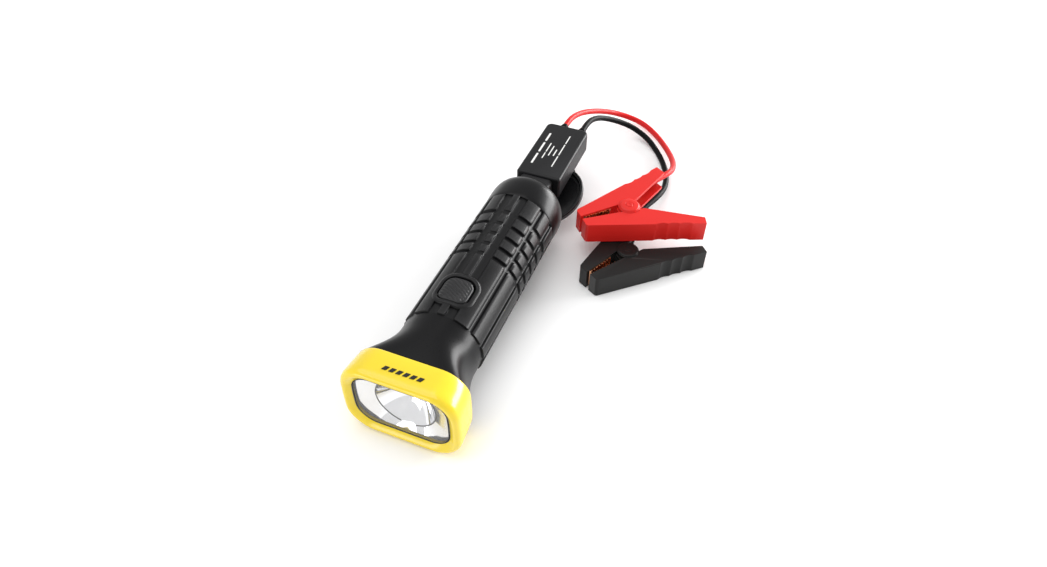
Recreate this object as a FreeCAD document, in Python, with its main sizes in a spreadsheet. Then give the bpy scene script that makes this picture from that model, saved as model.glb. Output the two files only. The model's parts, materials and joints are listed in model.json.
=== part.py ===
"""Torch-shaped jump starter with its smart jumper lead plugged in.

Frame: +Z up, the floor at z = 0, the torch's axis along Y with the lamp towards -Y.
Torch parts are drawn in the torch frame (y counted back from the lamp's front face,
x and z from the torch's axis), clamp parts in the clamp frame (u along the clamp's
axis from the pivot towards the handles, v across it, z from the clamp's mid-height).
"""
import FreeCAD, Part

import math
import os

import Sketcher
from FreeCAD import Placement, Rotation, Vector

doc = FreeCAD.newDocument("jump_starter")

# ------------------------------------------------------------------ driving sizes
SIZES = [
    ("front_y", -139.1, "lamp front face in the row frame"),
    ("bezel_width", 79.0, "lamp ring, across"),
    ("bezel_height", 58.8, "lamp ring, top to bottom"),
    ("bezel_depth", 23.0, "lamp ring, front to back"),
    ("bezel_corner", 16.0, "lamp ring corner radius"),
    ("bezel_wall", 3.2, "lamp ring wall"),
    ("lip_depth", 2.0, "front lip that holds the window"),
    ("lip_width", 6.0, "front lip, seen from the front"),
    ("neck_end", 61.1, "back end of the neck, front end of the grip"),
    ("flare_end", 52.0, "where the flare becomes round"),
    ("grip_radius", 29.0, "over the tread pads"),
    ("tread_depth", 1.2, "height of the tread pads"),
    ("sleeve_bore", 26.4, "inside of the rubber sleeve"),
    ("grip_end", 189.1, "back end of the rubber grip"),
    ("barrel_start", 55.0, "front end of the battery barrel"),
    ("barrel_end", 208.0, "back end of the battery barrel"),
    ("barrel_radius", 26.3, "battery barrel, outside"),
    ("barrel_bore", 24.2, "battery barrel, inside"),
    ("tail_end", 215.4, "back face of the tail collar"),
    ("collar_radius", 29.4, "tail collar, outside"),
    ("cell_radius", 9.15, "18650 cell"),
    ("cell_length", 65.0, "18650 cell"),
    ("cells_start", 65.3, "front end of the front cells"),
    ("cell_gap", 4.0, "between the front and rear cells"),
    ("button_middle", 84.0, "power button's centre along the torch"),
    ("button_width", 20.6, "power button, across"),
    ("button_length", 20.6, "power button, along the torch"),
    ("button_gap", 0.35, "all round the button"),
    ("surround_width", 30.0, "button surround, across"),
    ("surround_length", 28.0, "button surround, along the torch"),
    ("board_top", 17.8, "main board's upper face above the axis"),
    ("plug_height", 9.7, "plug and module mid-height above the axis"),
    ("plug_spacing", 13.0, "between the two power contacts"),
    ("module_start", 230.0, "near end of the smart module"),
    ("module_end", 302.6, "far end of the smart module"),
    ("module_width", 36.4, "smart module, across"),
    ("module_shift", 0.8, "smart module's middle, right of the torch's"),
    ("module_height", 18.0, "smart module, top to bottom"),
    ("cap_radius", 30.4, "tail cap rim"),
    ("cap_depth", 6.0, "tail cap, rim to back"),
    ("cap_plate", 1.8, "tail cap's back plate"),
    ("hinge_reach", 26.4, "cap hinge from the torch's axis"),
    ("hinge_back", 8.0, "cap hinge behind the collar's end face"),
    ("hinge_turn", 165.0, "cap hinge round the torch, from the top towards +X"),
    ("cap_open", 75.0, "how far the cap stands open"),
    ("pin_radius", 0.9, "cap hinge pin"),
    ("knuckle_radius", 1.8, "cap hinge knuckles"),
    ("lug_width", 5.2, "collar's hinge lug"),
    ("ear_width", 3.0, "each of the cap's hinge ears"),
    ("running_fit", 0.05, "radial clearance of a pin that turns"),
    ("clamp_height", 16.8, "clamp body thickness"),
    ("jaw_reach", 40.5, "clamp pivot to jaw tip"),
    ("tip_width", 9.8, "half width over the jaw tips"),
    ("handle_slope", 0.331, "rise of a clamp half's straight back per unit length"),
    ("cable_reach", 43.5, "clamp pivot to the end of the cable half's handle"),
    ("cable_tip", 9.0, "width of that end"),
    ("lever_reach", 46.5, "clamp pivot to the end of the lever half's handle"),
    ("lever_tip", 6.8, "width of that end"),
    ("clamp_wall", 2.4, "clamp wall"),
    ("clamp_plate", 2.2, "clamp top and bottom plates"),
    ("ear_radius", 8.5, "pivot boss"),
    ("rivet_radius", 2.4, "clamp rivet"),
    ("red_turn", 42.3, "red clamp's axis from +X"),
    ("red_x", 74.6, "red clamp pivot"),
    ("red_back", 237.1, "red clamp pivot behind the lamp face"),
    ("black_turn", 60.3, "black clamp's axis from +X"),
    ("black_x", 84.1, "black clamp pivot"),
    ("black_back", 207.5, "black clamp pivot behind the lamp face"),
    ("stack_gap", 0.3, "between the stacked clamps"),
    ("boss_height", 0.8, "pivot boss above the clamp's face"),
    ("cable_diameter", 5.0, "silicone jump cable"),
    ("relief_length", 10.0, "module strain reliefs"),
    ("cable_height", 11.0, "cable exits above the torch's axis"),
    ("cable_exit", 8.0, "cable exits either side of their middle"),
    ("cable_shift", 2.6, "the cable exits' middle, right of the torch's"),
]

sheet = doc.addObject("Spreadsheet::Sheet", "Sizes")
for row, (alias, number, note) in enumerate(SIZES, start=1):
    sheet.set(f"A{row}", note)
    sheet.set(f"B{row}", str(number))
    sheet.setAlias(f"B{row}", alias)
doc.recompute()


class Size:
    """A length that carries its value and the sheet expression that drives it."""

    def __init__(self, value, text):
        self.value = value
        self.text = text

    @staticmethod
    def of(other):
        return other if isinstance(other, Size) else Size(float(other), f"{float(other)!r}")

    def _join(self, sign, other, value):
        return Size(value, f"({self.text} {sign} {other.text})")

    def __add__(self, other):
        other = Size.of(other)
        return self._join("+", other, self.value + other.value)

    def __sub__(self, other):
        other = Size.of(other)
        return self._join("-", other, self.value - other.value)

    def __mul__(self, other):
        other = Size.of(other)
        return self._join("*", other, self.value * other.value)

    def __truediv__(self, other):
        other = Size.of(other)
        return self._join("/", other, self.value / other.value)

    def __neg__(self):
        return Size(-self.value, f"(0 - {self.text})")

    def __radd__(self, other):
        return Size.of(other) + self

    def __rsub__(self, other):
        return Size.of(other) - self

    def __rmul__(self, other):
        return Size.of(other) * self


def cell(alias):
    """The named cell of the sheet as a Size."""
    return Size(float(sheet.get(alias)), f"Sizes.{alias}")


def bind(thing, path, size):
    """Drive one property by a sheet expression."""
    thing.setExpression(path, Size.of(size).text)


# ------------------------------------------------------------------ sub-parts and their places
SUBPARTS = []
AXIS_HEIGHT = cell("bezel_height") / 2


def keep(thing, label):
    """Register a sub-part: its Label names its file."""
    thing.Label = label
    SUBPARTS.append(thing)
    return thing


def in_torch_frame(thing, label):
    """Keep a sub-part that was drawn in the torch frame."""
    thing.Placement = Placement(Vector(0, cell("front_y").value, AXIS_HEIGHT.value), Rotation())
    bind(thing, "Placement.Base.y", cell("front_y"))
    bind(thing, "Placement.Base.z", AXIS_HEIGHT)
    return keep(thing, label)


def moved(shape, placement):
    """The shape's own geometry carried to a placement."""
    return shape.transformed(placement.toMatrix(), copy=True)


def shape_part(shape, label):
    """Keep a sub-part whose shape was worked out from the sheet's values in the torch frame."""
    thing = doc.addObject("Part::Feature", label)
    thing.Shape = shape
    return in_torch_frame(thing, label)


# ------------------------------------------------------------------ sketches and features
def new_body(label):
    return doc.addObject("PartDesign::Body", f"{label}_body")


def new_sketch(body, plane, offset=0):
    """A sketch on one of the body's own origin planes, moved along its normal by offset."""
    sketch = body.newObject("Sketcher::SketchObject", "Sketch")
    origin_plane = next(f for f in body.Origin.OriginFeatures if f.Role == f"{plane}_Plane")
    sketch.AttachmentSupport = [(origin_plane, "")]
    sketch.MapMode = "FlatFace"
    bind(sketch, "AttachmentOffset.Base.z", offset)
    return sketch


def place_point(sketch, geometry, end, across, up):
    """Tie a point of the sketch to sheet-driven coordinates."""
    for kind, size in (("DistanceX", Size.of(across)), ("DistanceY", Size.of(up))):
        if size.value == 0:
            axis = -2 if kind == "DistanceX" else -1
            sketch.addConstraint(Sketcher.Constraint("PointOnObject", geometry, end, axis))
        else:
            index = sketch.addConstraint(
                Sketcher.Constraint(kind, -1, 1, geometry, end, size.value)
            )
            sketch.setExpression(f"Constraints[{index}]", size.text)


def polygon(sketch, corners):
    """A closed polygon through corners given as (across, up)."""
    spots = [Vector(Size.of(a).value, Size.of(b).value, 0) for a, b in corners]
    first = sketch.GeometryCount
    count = len(spots)
    for i in range(count):
        sketch.addGeometry(Part.LineSegment(spots[i], spots[(i + 1) % count]), False)
    for i in range(count):
        after = first + (i + 1) % count
        sketch.addConstraint(Sketcher.Constraint("Coincident", first + i, 2, after, 1))
    for i, (across, up) in enumerate(corners):
        place_point(sketch, first + i, 1, across, up)
    return sketch


def rectangle(sketch, width, height, across=0, up=0):
    """A rectangle of that size about a centre."""
    half_w, half_h = Size.of(width) / 2, Size.of(height) / 2
    across, up = Size.of(across), Size.of(up)
    return polygon(sketch, [
        (across - half_w, up - half_h),
        (across + half_w, up - half_h),
        (across + half_w, up + half_h),
        (across - half_w, up + half_h),
    ])


def rounded(sketch, width, height, corner, across=0, up=0):
    """A rectangle with round corners about a centre: corner arcs tangent to four sides."""
    half_w, half_h = Size.of(width) / 2, Size.of(height) / 2
    across, up, corner = Size.of(across), Size.of(up), Size.of(corner)
    first = sketch.GeometryCount
    r = corner.value
    for i, (sx, sy) in enumerate(((1, 1), (-1, 1), (-1, -1), (1, -1))):
        x = across + (half_w - corner) * sx
        y = up + (half_h - corner) * sy
        arc = Part.ArcOfCircle(Part.Circle(Vector(x.value, y.value, 0), Vector(0, 0, 1), r),
                               math.pi / 2 * i, math.pi / 2 * (i + 1))
        sketch.addGeometry(arc, False)
        place_point(sketch, first + i, 3, x, y)
        ring = sketch.addConstraint(Sketcher.Constraint("Radius", first + i, r))
        sketch.setExpression(f"Constraints[{ring}]", corner.text)
    for i in range(4):
        arc, after = first + i, first + (i + 1) % 4
        start = sketch.Geometry[arc].EndPoint
        end = sketch.Geometry[after].StartPoint
        side = sketch.addGeometry(Part.LineSegment(start, end), False)
        sketch.addConstraint(Sketcher.Constraint("Tangent", arc, 2, side, 1))
        sketch.addConstraint(Sketcher.Constraint("Tangent", side, 2, after, 1))
    return sketch


def circle(sketch, radius, across=0, up=0):
    radius = Size.of(radius)
    middle = Vector(Size.of(across).value, Size.of(up).value, 0)
    index = sketch.addGeometry(Part.Circle(middle, Vector(0, 0, 1), radius.value), False)
    place_point(sketch, index, 3, across, up)
    ring = sketch.addConstraint(Sketcher.Constraint("Radius", index, radius.value))
    sketch.setExpression(f"Constraints[{ring}]", radius.text)
    return sketch


def pad(body, sketch, length, back=False, midplane=False):
    """Add material: towards the sketch's normal, back from it, or half each way."""
    feature = body.newObject("PartDesign::Pad", "Pad")
    feature.Profile = sketch
    feature.Reversed = back
    feature.Midplane = midplane
    bind(feature, "Length", length)
    doc.recompute()
    return feature


def pocket(body, sketch, length, back=False, midplane=False, taper=0):
    """Take material away, and make sure that some went."""
    before = body.Shape.Volume
    feature = body.newObject("PartDesign::Pocket", "Pocket")
    feature.Profile = sketch
    feature.Reversed = back
    feature.Midplane = midplane
    feature.TaperAngle = taper
    bind(feature, "Length", length)
    doc.recompute()
    if body.Shape.Volume >= before - 1e-3:
        raise RuntimeError(f"a pocket of {body.Name} cuts nothing")
    return feature


def turn(body, sketch, axis="Y", angle=360, cut=False):
    """Revolve a sketch about one of the body's own axes."""
    feature = body.newObject("PartDesign::Groove" if cut else "PartDesign::Revolution", "Turned")
    feature.Profile = sketch
    origin_axis = next(f for f in body.Origin.OriginFeatures if f.Role == f"{axis}_Axis")
    feature.ReferenceAxis = (origin_axis, [""])
    feature.Angle = angle
    doc.recompute()
    return feature


def repeat_round(body, feature, count, step, axis="Y"):
    """Repeat a feature round one of the body's own axes, one step apart."""
    pattern = body.newObject("PartDesign::PolarPattern", "Round")
    pattern.Originals = [feature]
    origin_axis = next(f for f in body.Origin.OriginFeatures if f.Role == f"{axis}_Axis")
    pattern.Axis = (origin_axis, [""])
    pattern.Angle = step * (count - 1)
    pattern.Occurrences = count
    body.Tip = pattern
    doc.recompute()
    return pattern


def round_edges(body, radius, wanted):
    """Fillet the edges of the body's last feature that wanted() picks."""
    base = body.Tip
    names = [f"Edge{i}" for i, edge in enumerate(base.Shape.Edges, start=1) if wanted(edge)]
    feature = body.newObject("PartDesign::Fillet", "Rounding")
    feature.Base = (base, names)
    bind(feature, "Radius", radius)
    doc.recompute()
    return feature


def along(axis, beyond=0):
    """Pick straight edges parallel to an axis, at least that far from the other two axes' origin."""
    def wanted(edge):
        if edge.Curve.TypeId != "Part::GeomLine":
            return False
        direction = edge.Curve.Direction
        middle = edge.CenterOfMass
        away = max(abs(getattr(middle, n)) for n in "xyz" if n != axis)
        return abs(getattr(direction, axis)) > 0.999 and away >= beyond
    return wanted


def edge_reach(edge):
    """How far from the torch's axis an edge gets, sideways."""
    return max(abs(edge.BoundBox.XMin), abs(edge.BoundBox.XMax))


def ring_plate(label, outer, inner, start, depth):
    """A rounded rectangular plate or frame across the torch: (width, height, corner) each."""
    body = new_body(label)
    outline = rounded(new_sketch(body, "XZ", -Size.of(start)), *outer)
    if inner:
        rounded(outline, *inner)
    pad(body, outline, depth, back=True)
    return body


def disc(label, radius, start, depth):
    """A round plate across the torch."""
    body = new_body(label)
    pad(body, circle(new_sketch(body, "XZ", -Size.of(start)), radius), depth, back=True)
    return body


# ------------------------------------------------------------------ primitives
def block(name, size, corner):
    """A Part box, size (x, y, z), its lowest corner at corner."""
    box = doc.addObject("Part::Box", name)
    for path, length in zip(("Length", "Width", "Height"), size):
        bind(box, path, length)
    for path, place in zip("xyz", corner):
        bind(box, f"Placement.Base.{path}", place)
    return box


def rod(name, radius, length, start, direction="y"):
    """A Part cylinder from start, along one axis."""
    cylinder = doc.addObject("Part::Cylinder", name)
    bind(cylinder, "Radius", radius)
    bind(cylinder, "Height", length)
    turns = {"x": Rotation(Vector(0, 1, 0), 90), "y": Rotation(Vector(1, 0, 0), -90), "z": Rotation()}
    cylinder.Placement = Placement(Vector(*[Size.of(s).value for s in start]), turns[direction])
    for path, place in zip("xyz", start):
        bind(cylinder, f"Placement.Base.{path}", place)
    return cylinder


def fused(name, pieces):
    whole = doc.addObject("Part::MultiFuse", name)
    whole.Shapes = pieces
    return whole


def grouped(name, pieces):
    """Several separate solids that share one node, or one solid that keeps its own place."""
    whole = doc.addObject("Part::Compound", name)
    whole.Links = pieces
    return whole


def without(name, base, tool):
    cut = doc.addObject("Part::Cut", name)
    cut.Base = base
    cut.Tool = tool
    return cut


# ------------------------------------------------------------------ lamp head
def build_head():
    width, height = cell("bezel_width"), cell("bezel_height")
    wall, lip = cell("bezel_wall"), cell("lip_width")
    room = (width - wall * 2, height - wall * 2)
    lip_depth, corner = cell("lip_depth"), cell("bezel_corner")

    bezel = new_body("bezel")
    pad(bezel, rounded(new_sketch(bezel, "XZ"), width, height, corner), cell("bezel_depth"), back=True)
    inside = rounded(new_sketch(bezel, "XZ", -cell("bezel_depth")), *room, corner - wall)
    pocket(bezel, inside, cell("bezel_depth") - lip_depth, back=True)
    window = rounded(new_sketch(bezel, "XZ"), width - lip * 2, height - lip * 2, corner - lip)
    pocket(bezel, window, lip_depth + 1)
    round_edges(bezel, 1.2, lambda e: abs(e.CenterOfMass.y) < 0.01 and edge_reach(e) > room[0].value / 2)
    in_torch_frame(bezel, "bezel")

    sheet_fit = 0.2
    plate = (room[0] - sheet_fit * 2, room[1] - sheet_fit * 2, corner - wall - sheet_fit)
    gasket_hole = (width - lip * 2 - 0.6, height - lip * 2 - 0.6, corner - lip)
    gasket_depth, lens_depth = 0.8, 2.2
    in_torch_frame(ring_plate("lens_gasket", plate, gasket_hole, lip_depth, gasket_depth), "lens_gasket")
    lens_start = lip_depth + gasket_depth
    in_torch_frame(ring_plate("lens", plate, None, lens_start, lens_depth), "lens")

    # Reflector: a flange behind the window, side facets that lean in, and a round bowl.
    start = lens_start + lens_depth
    reflector = new_body("reflector")
    pad(reflector, rounded(new_sketch(reflector, "XZ", -start), *plate), 1.6, back=True)
    trunk = rectangle(new_sketch(reflector, "XZ", -start), 60.0, 43.6)
    pad(reflector, trunk, 15.0, back=True)
    facets = rectangle(new_sketch(reflector, "XZ", -start), 57.0, 40.6)
    pocket(reflector, facets, 8.0, taper=-30)
    bowl = new_sketch(reflector, "XY")
    polygon(bowl, [(0, start + 6), (18.5, start + 6), (17.0, start + 9), (12.0, start + 13),
                   (3.8, start + 14.4), (3.8, start + 17), (0, start + 17)])
    turn(reflector, bowl, cut=True)
    in_torch_frame(reflector, "reflector")

    # The light source on its board, screwed to a finned plate that spans the neck.
    board_start, board_depth, plate_depth, fin_depth = start + 16.2, 1.6, 2.0, 11.0
    screw_at, screw_radius = 8.8, 1.1
    board = disc("led_board", 12.0, board_start, board_depth)
    sink_start = board_start + board_depth
    heatsink = new_body("led_heatsink")
    pad(heatsink, rounded(new_sketch(heatsink, "XZ", -sink_start), 60.0, 42.0, 10.0), plate_depth, back=True)
    pad(heatsink, circle(new_sketch(heatsink, "XZ", -sink_start), 6.5), plate_depth + fin_depth, back=True)
    fin = rectangle(new_sketch(heatsink, "XZ", -sink_start), 2.0, 11.0, 0, 10.0)
    pad(heatsink, fin, plate_depth + fin_depth, back=True)
    repeat_round(heatsink, heatsink.Tip, 10, 36)
    for body, hole_start, depth in ((board, board_start, board_depth), (heatsink, sink_start, plate_depth)):
        holes = new_sketch(body, "XZ", -hole_start)
        for side in (-1, 1):
            circle(holes, screw_radius, screw_at * side, 0)
        pocket(body, holes, depth)
    in_torch_frame(board, "led_board")
    in_torch_frame(heatsink, "led_heatsink")
    in_torch_frame(fused("led_parts", [
        block("led_package", (5.0, 1.2, 5.0), (-2.5, board_start - 1.2, -2.5)),
        rod("led_dome", 2.1, 1.2, (0, board_start - 2.2, 0)),
    ]), "led_emitter")
    screws = []
    for side in (-1, 1):
        shank = rod(f"head_screw_shank_{side + 1}", screw_radius, 6.0, (screw_at * side, board_start, 0))
        head = rod(f"head_screw_head_{side + 1}", 2.0, 0.9, (screw_at * side, board_start - 0.9, 0))
        screws.append(fused(f"head_screw_{side + 1}", [shank, head]))
    in_torch_frame(grouped("head_screw_set", screws), "head_screws")


def flare_section(y, half_width, half_height, power):
    """A smooth closed curve across the torch: power 2 is an ellipse, more is squarer."""
    points = []
    count = 48
    for i in range(count):
        angle = 2 * math.pi * i / count
        c, s = math.cos(angle), math.sin(angle)
        x = half_width * math.copysign(abs(c) ** (2 / power), c)
        z = half_height * math.copysign(abs(s) ** (2 / power), s)
        points.append(Vector(x, y, z))
    curve = Part.BSplineCurve()
    curve.interpolate(Points=points, PeriodicFlag=True)
    return Part.Wire([curve.toShape()])


def flare(inset):
    """The neck's flare from the lamp ring down to the round barrel, inset all round."""
    start, end = cell("bezel_depth").value, cell("flare_end").value
    half_w = cell("bezel_width").value / 2 - 0.8 - inset
    half_h = cell("bezel_height").value / 2 - 0.8 - inset
    small = cell("grip_radius").value - cell("tread_depth").value - inset - 0.03
    sections = []
    steps = 6
    for i in range(steps + 1):
        along_neck = i / steps
        blend = (1 - along_neck) ** 2.1
        power = 2 + 2.4 * blend
        sections.append(flare_section(start + (end - start) * along_neck,
                                      small + (half_w - small) * blend,
                                      small + (half_h - small) * blend, power))
    return Part.makeLoft(sections, True, False)


def build_neck():
    front, end, back = (cell(n).value for n in ("bezel_depth", "flare_end", "neck_end"))
    outer_radius = cell("grip_radius").value - cell("tread_depth").value
    wall = 2.4
    axis = Vector(0, 1, 0)
    lip_w = cell("bezel_width").value - 2 * cell("bezel_wall").value - 0.6
    lip_h = cell("bezel_height").value - 2 * cell("bezel_wall").value - 0.6
    lip_start, lip_wall = 15.0, 2.0
    outer = flare(0.0).fuse(Part.makeCylinder(outer_radius, back - end, Vector(0, end, 0), axis))
    collar = Part.makeBox(lip_w, front - lip_start + 0.5, lip_h, Vector(-lip_w / 2, lip_start, -lip_h / 2))
    upright = [e for e in collar.Edges if abs(e.tangentAt(e.FirstParameter).y) > 0.99]
    lip_corner = cell("bezel_corner").value - cell("bezel_wall").value - 0.3
    collar = collar.makeFillet(lip_corner, upright)
    outer = outer.fuse(collar)
    inner = flare(wall)
    hollow = Part.makeBox(lip_w - 2 * lip_wall, front - lip_start + 2, lip_h - 2 * lip_wall,
                          Vector(lip_wall - lip_w / 2, lip_start - 1, lip_wall - lip_h / 2))
    upright = [e for e in hollow.Edges if abs(e.tangentAt(e.FirstParameter).y) > 0.99]
    hollow = hollow.makeFillet(6.0, upright)
    bore = Part.makeCylinder(cell("barrel_radius").value + 0.05, back - end + 1, Vector(0, end, 0), axis)
    neck = outer.cut(inner).cut(hollow).cut(bore)
    shape_part(neck, "neck_housing")


# ------------------------------------------------------------------ barrel, grip and tail
# Screws that draw the two barrel shells together, in bosses along the parting line.
SCREW_PLACES = [(58.6, 22.4), (58.6, -22.4), (204.5, 22.4), (204.5, -22.4)]


def build_barrel():
    start, end = cell("barrel_start"), cell("barrel_end")
    outer, bore = cell("barrel_radius"), cell("barrel_bore")
    parting = 0.05
    for label, side in (("barrel_left_shell", -1), ("barrel_right_shell", 1)):
        shell = new_body(label)
        band = new_sketch(shell, "XZ", -start)
        circle(band, outer)
        circle(band, bore)
        pad(shell, band, end - start, back=True)
        other_half = rectangle(new_sketch(shell, "XZ", -start), outer + 4, outer * 2 + 4,
                               -side * ((outer + 4) / 2 - parting), 0)
        pocket(shell, other_half, end - start)
        hole = new_sketch(shell, "XY", 30)
        rectangle(hole, cell("button_width") + 2, cell("button_length") + 2, 0, cell("button_middle"))
        pocket(shell, hole, 30)
        for y, z in SCREW_PLACES:
            boss = rectangle(new_sketch(shell, "YZ", parting * side), 5.6, 4.0, y, z)
            pad(shell, boss, 4.6, back=side < 0)
        holes = new_sketch(shell, "YZ", parting * side)
        for y, z in SCREW_PLACES:
            circle(holes, 1.1, y, z)
        pocket(shell, holes, 4.6, back=side > 0)
        in_torch_frame(shell, label)

    screws = [rod(f"barrel_screw_{i}", 1.1, 8.8, (-4.4, y, z), "x") for i, (y, z) in enumerate(SCREW_PLACES)]
    in_torch_frame(grouped("barrel_screw_set", screws), "barrel_screws")


def build_grip():
    """Rubber sleeve: raised pads left between lengthwise channels and rings of grooves."""
    start, end = cell("neck_end").value, cell("grip_end").value
    radius, bore = cell("grip_radius").value, cell("sleeve_bore").value
    floor = radius - cell("tread_depth").value
    axis = Vector(0, 1, 0)
    pads = Part.makeCylinder(radius, end - start, Vector(0, start, 0), axis)
    sleeve = Part.makeCylinder(floor, end - start, Vector(0, start, 0), axis)

    def channel(width, angle, first, last):
        """A straight channel between pads, at an angle from the top."""
        box = Part.makeBox(width, last - first, 6, Vector(-width / 2, first, floor))
        return box.rotated(Vector(0, 0, 0), axis, angle)

    cuts = [channel(4.0, 45 + 27 * i, start - 1, end + 1) for i in range(11)]
    cuts += [channel(7.2, 11.8 * side, start - 1, end + 1) for side in (-1, 1)]
    for y, width in GROOVES:
        front = Vector(0, y - width / 2, 0)
        ring = Part.makeCylinder(radius + 1, width, front, axis)
        cuts.append(ring.cut(Part.makeCylinder(floor, width, front, axis)))
    tread = pads.cut(cuts)
    sleeve = sleeve.fuse(tread).cut(Part.makeCylinder(bore, end - start, Vector(0, start, 0), axis))
    width, length = cell("surround_width").value, cell("surround_length").value
    middle = cell("button_middle").value
    hole = Part.makeBox(width, length, 20, Vector(-width / 2, middle - length / 2, 15))
    upright = [e for e in hole.Edges if abs(e.tangentAt(e.FirstParameter).z) > 0.99]
    sleeve = sleeve.cut(hole.makeFillet(9.0, upright))
    shape_part(sleeve.removeSplitter(), "grip_sleeve")


# The rings of grooves: middle along the torch, and width.
GROOVES = [(122.2, 5.2), (132.7, 5.2), (144.0, 5.2), (155.4, 5.2), (168.0, 7.0)]


def build_button():
    """Power button, the raised surround that it sits in, and the switch below it."""
    middle, gap = cell("button_middle"), cell("button_gap")
    wide, long = cell("button_width"), cell("button_length")
    crown = cell("grip_radius") + 0.5

    surround = new_body("button_surround")
    outline = rectangle(new_sketch(surround, "XY", 24.3), cell("surround_width") - 0.2,
                        cell("surround_length") - 0.2, 0, middle)
    pad(surround, outline, 6.0)
    round_edges(surround, 8.8, along("z"))
    opening = rectangle(new_sketch(surround, "XY", 24.3), wide + gap * 2, long + gap * 2, 0, middle)
    pocket(surround, opening, 6.0, back=True)
    round_edges(surround, 6.0, lambda e: along("z")(e)
                and abs(abs(e.CenterOfMass.x) - (wide / 2 + gap).value) < 0.01)
    shell_outside = rod("surround_outside", crown, cell("surround_length") + 4,
                        (0, middle - cell("surround_length") / 2 - 2, 0))
    shell_inside = rod("surround_inside", cell("sleeve_bore") + 0.05, cell("surround_length") + 8,
                       (0, middle - cell("surround_length") / 2 - 4, 0))
    band = without("surround_band", shell_outside, shell_inside)
    trimmed = doc.addObject("Part::Common", "surround_trimmed")
    trimmed.Base = surround
    trimmed.Tool = band
    in_torch_frame(trimmed, "button_surround")

    button = new_body("power_button")
    pad(button, rectangle(new_sketch(button, "XY", 24.6), wide, long, 0, middle), 6.0)
    round_edges(button, 5.7, along("z"))
    pad(button, circle(new_sketch(button, "XY", 24.7), 2.0, 0, middle), 1.2, back=True)
    dome = rod("button_dome", crown + 0.6, long + 4, (0, middle - long / 2 - 2, 0))
    crowned = doc.addObject("Part::Common", "button_crowned")
    crowned.Base = button
    crowned.Tool = dome
    in_torch_frame(crowned, "power_button")

    top = cell("board_top")
    in_torch_frame(fused("switch_parts", [
        block("switch_case", (6.0, 6.0, 3.4), (-3.0, middle - 3.0, top)),
        rod("switch_plunger", 1.7, 0.9, (0, middle, top + 3.4), "z"),
    ]), "button_switch")


def build_tail():
    start, end = cell("grip_end"), cell("tail_end")
    radius, bore = cell("collar_radius"), cell("barrel_radius") + 0.05
    collar = new_body("tail_collar")
    band = new_sketch(collar, "XZ", -start)
    circle(band, radius)
    circle(band, bore)
    pad(collar, band, end - start, back=True)
    round_edges(collar, 1.6, lambda e: e.Curve.TypeId == "Part::GeomCircle"
                and abs(e.CenterOfMass.y - end.value) < 0.01 and e.Curve.Radius > 28)

    # The hinge lug stands behind the collar's end face and holds the cap's pin.
    knuckle, lug_width = cell("knuckle_radius").value, cell("lug_width").value
    pin_radius, along_pin = cell("pin_radius").value, Vector(1, 0, 0)
    root = cell("hinge_back").value + 1.2
    lug = Part.makeBox(lug_width, root, 2 * knuckle, Vector(-lug_width / 2, -root, -knuckle))
    lug_end = Vector(-lug_width / 2, 0, 0)
    lug = lug.fuse(Part.makeCylinder(knuckle, lug_width, lug_end, along_pin))
    lug = lug.cut(Part.makeCylinder(pin_radius, lug_width, lug_end, along_pin))
    whole = collar.Shape.fuse(moved(lug, hinge_placement(0)))
    whole = whole.cut(Part.makeCylinder(bore.value, end.value, Vector(0, 0, 0), Vector(0, 1, 0)))
    doc.removeObject(collar.Name)
    shape_part(whole, "tail_collar")

    pin_length = lug_width + 2 * cell("ear_width").value + 0.6
    pin = Part.makeCylinder(pin_radius, pin_length, Vector(-pin_length / 2, 0, 0), along_pin)
    shape_part(moved(pin, hinge_placement(0)), "cap_hinge_pin")

    # End panel with the jump socket and the two small ports in it.
    panel_start, panel_depth = 209.2, 3.0
    panel = disc("tail_panel", cell("barrel_bore") + 1.9, panel_start, panel_depth)
    height, spacing = cell("plug_height"), cell("plug_spacing")
    for size, place in (((28.0, 15.4), (0, height)), (PORT_A["size"], PORT_A["place"]),
                        (PORT_C["size"], PORT_C["place"])):
        hole = rectangle(new_sketch(panel, "XZ", -panel_start), *size, *place)
        pocket(panel, hole, panel_depth)
    in_torch_frame(panel, "tail_panel")

    socket = new_body("jump_socket")
    socket_start, socket_depth = 201.0, 12.3
    pad(socket, rectangle(new_sketch(socket, "XZ", -socket_start), 27.8, 15.2, 0, height),
        socket_depth, back=True)
    round_edges(socket, 2.0, along("y", 1))
    holes = new_sketch(socket, "XZ", -(socket_start + socket_depth))
    for side in (-1, 1):
        circle(holes, 4.4, spacing / 2 * side, height)
    pocket(socket, holes, 10.8, back=True)
    in_torch_frame(socket, "jump_socket")
    pins = [rod(f"socket_pin_{i}", 2.4, 8.4, (spacing / 2 * side, 202.5, height))
            for i, side in enumerate((-1, 1))]
    in_torch_frame(grouped("socket_pins", pins), "socket_contacts")

    for port, label in ((PORT_A, "usb_a_port"), (PORT_C, "usb_c_port")):
        shell = new_body(label)
        (w, t), (x, z) = port["size"], port["place"]
        pad(shell, rectangle(new_sketch(shell, "XZ", -port["start"]), w - 0.2, t - 0.2, x, z),
            212.0 - port["start"], back=True)
        pocket(shell, rectangle(new_sketch(shell, "XZ", -212.0), w - 1.2, t - 1.2, x, z),
               209.0 - port["start"], back=True)
        in_torch_frame(shell, label)
    port_board = block("port_board_box", (30.0, 1.6, 12.0), (-15.0, 200.6, -18.4))
    in_torch_frame(grouped("port_board_set", [port_board]), "port_board")


PORT_A = {"size": (14.5, 7.4), "place": (-7.0, -9.8), "start": 202.2}
PORT_C = {"size": (9.4, 3.8), "place": (10.0, -11.0), "start": 204.5}


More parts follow.
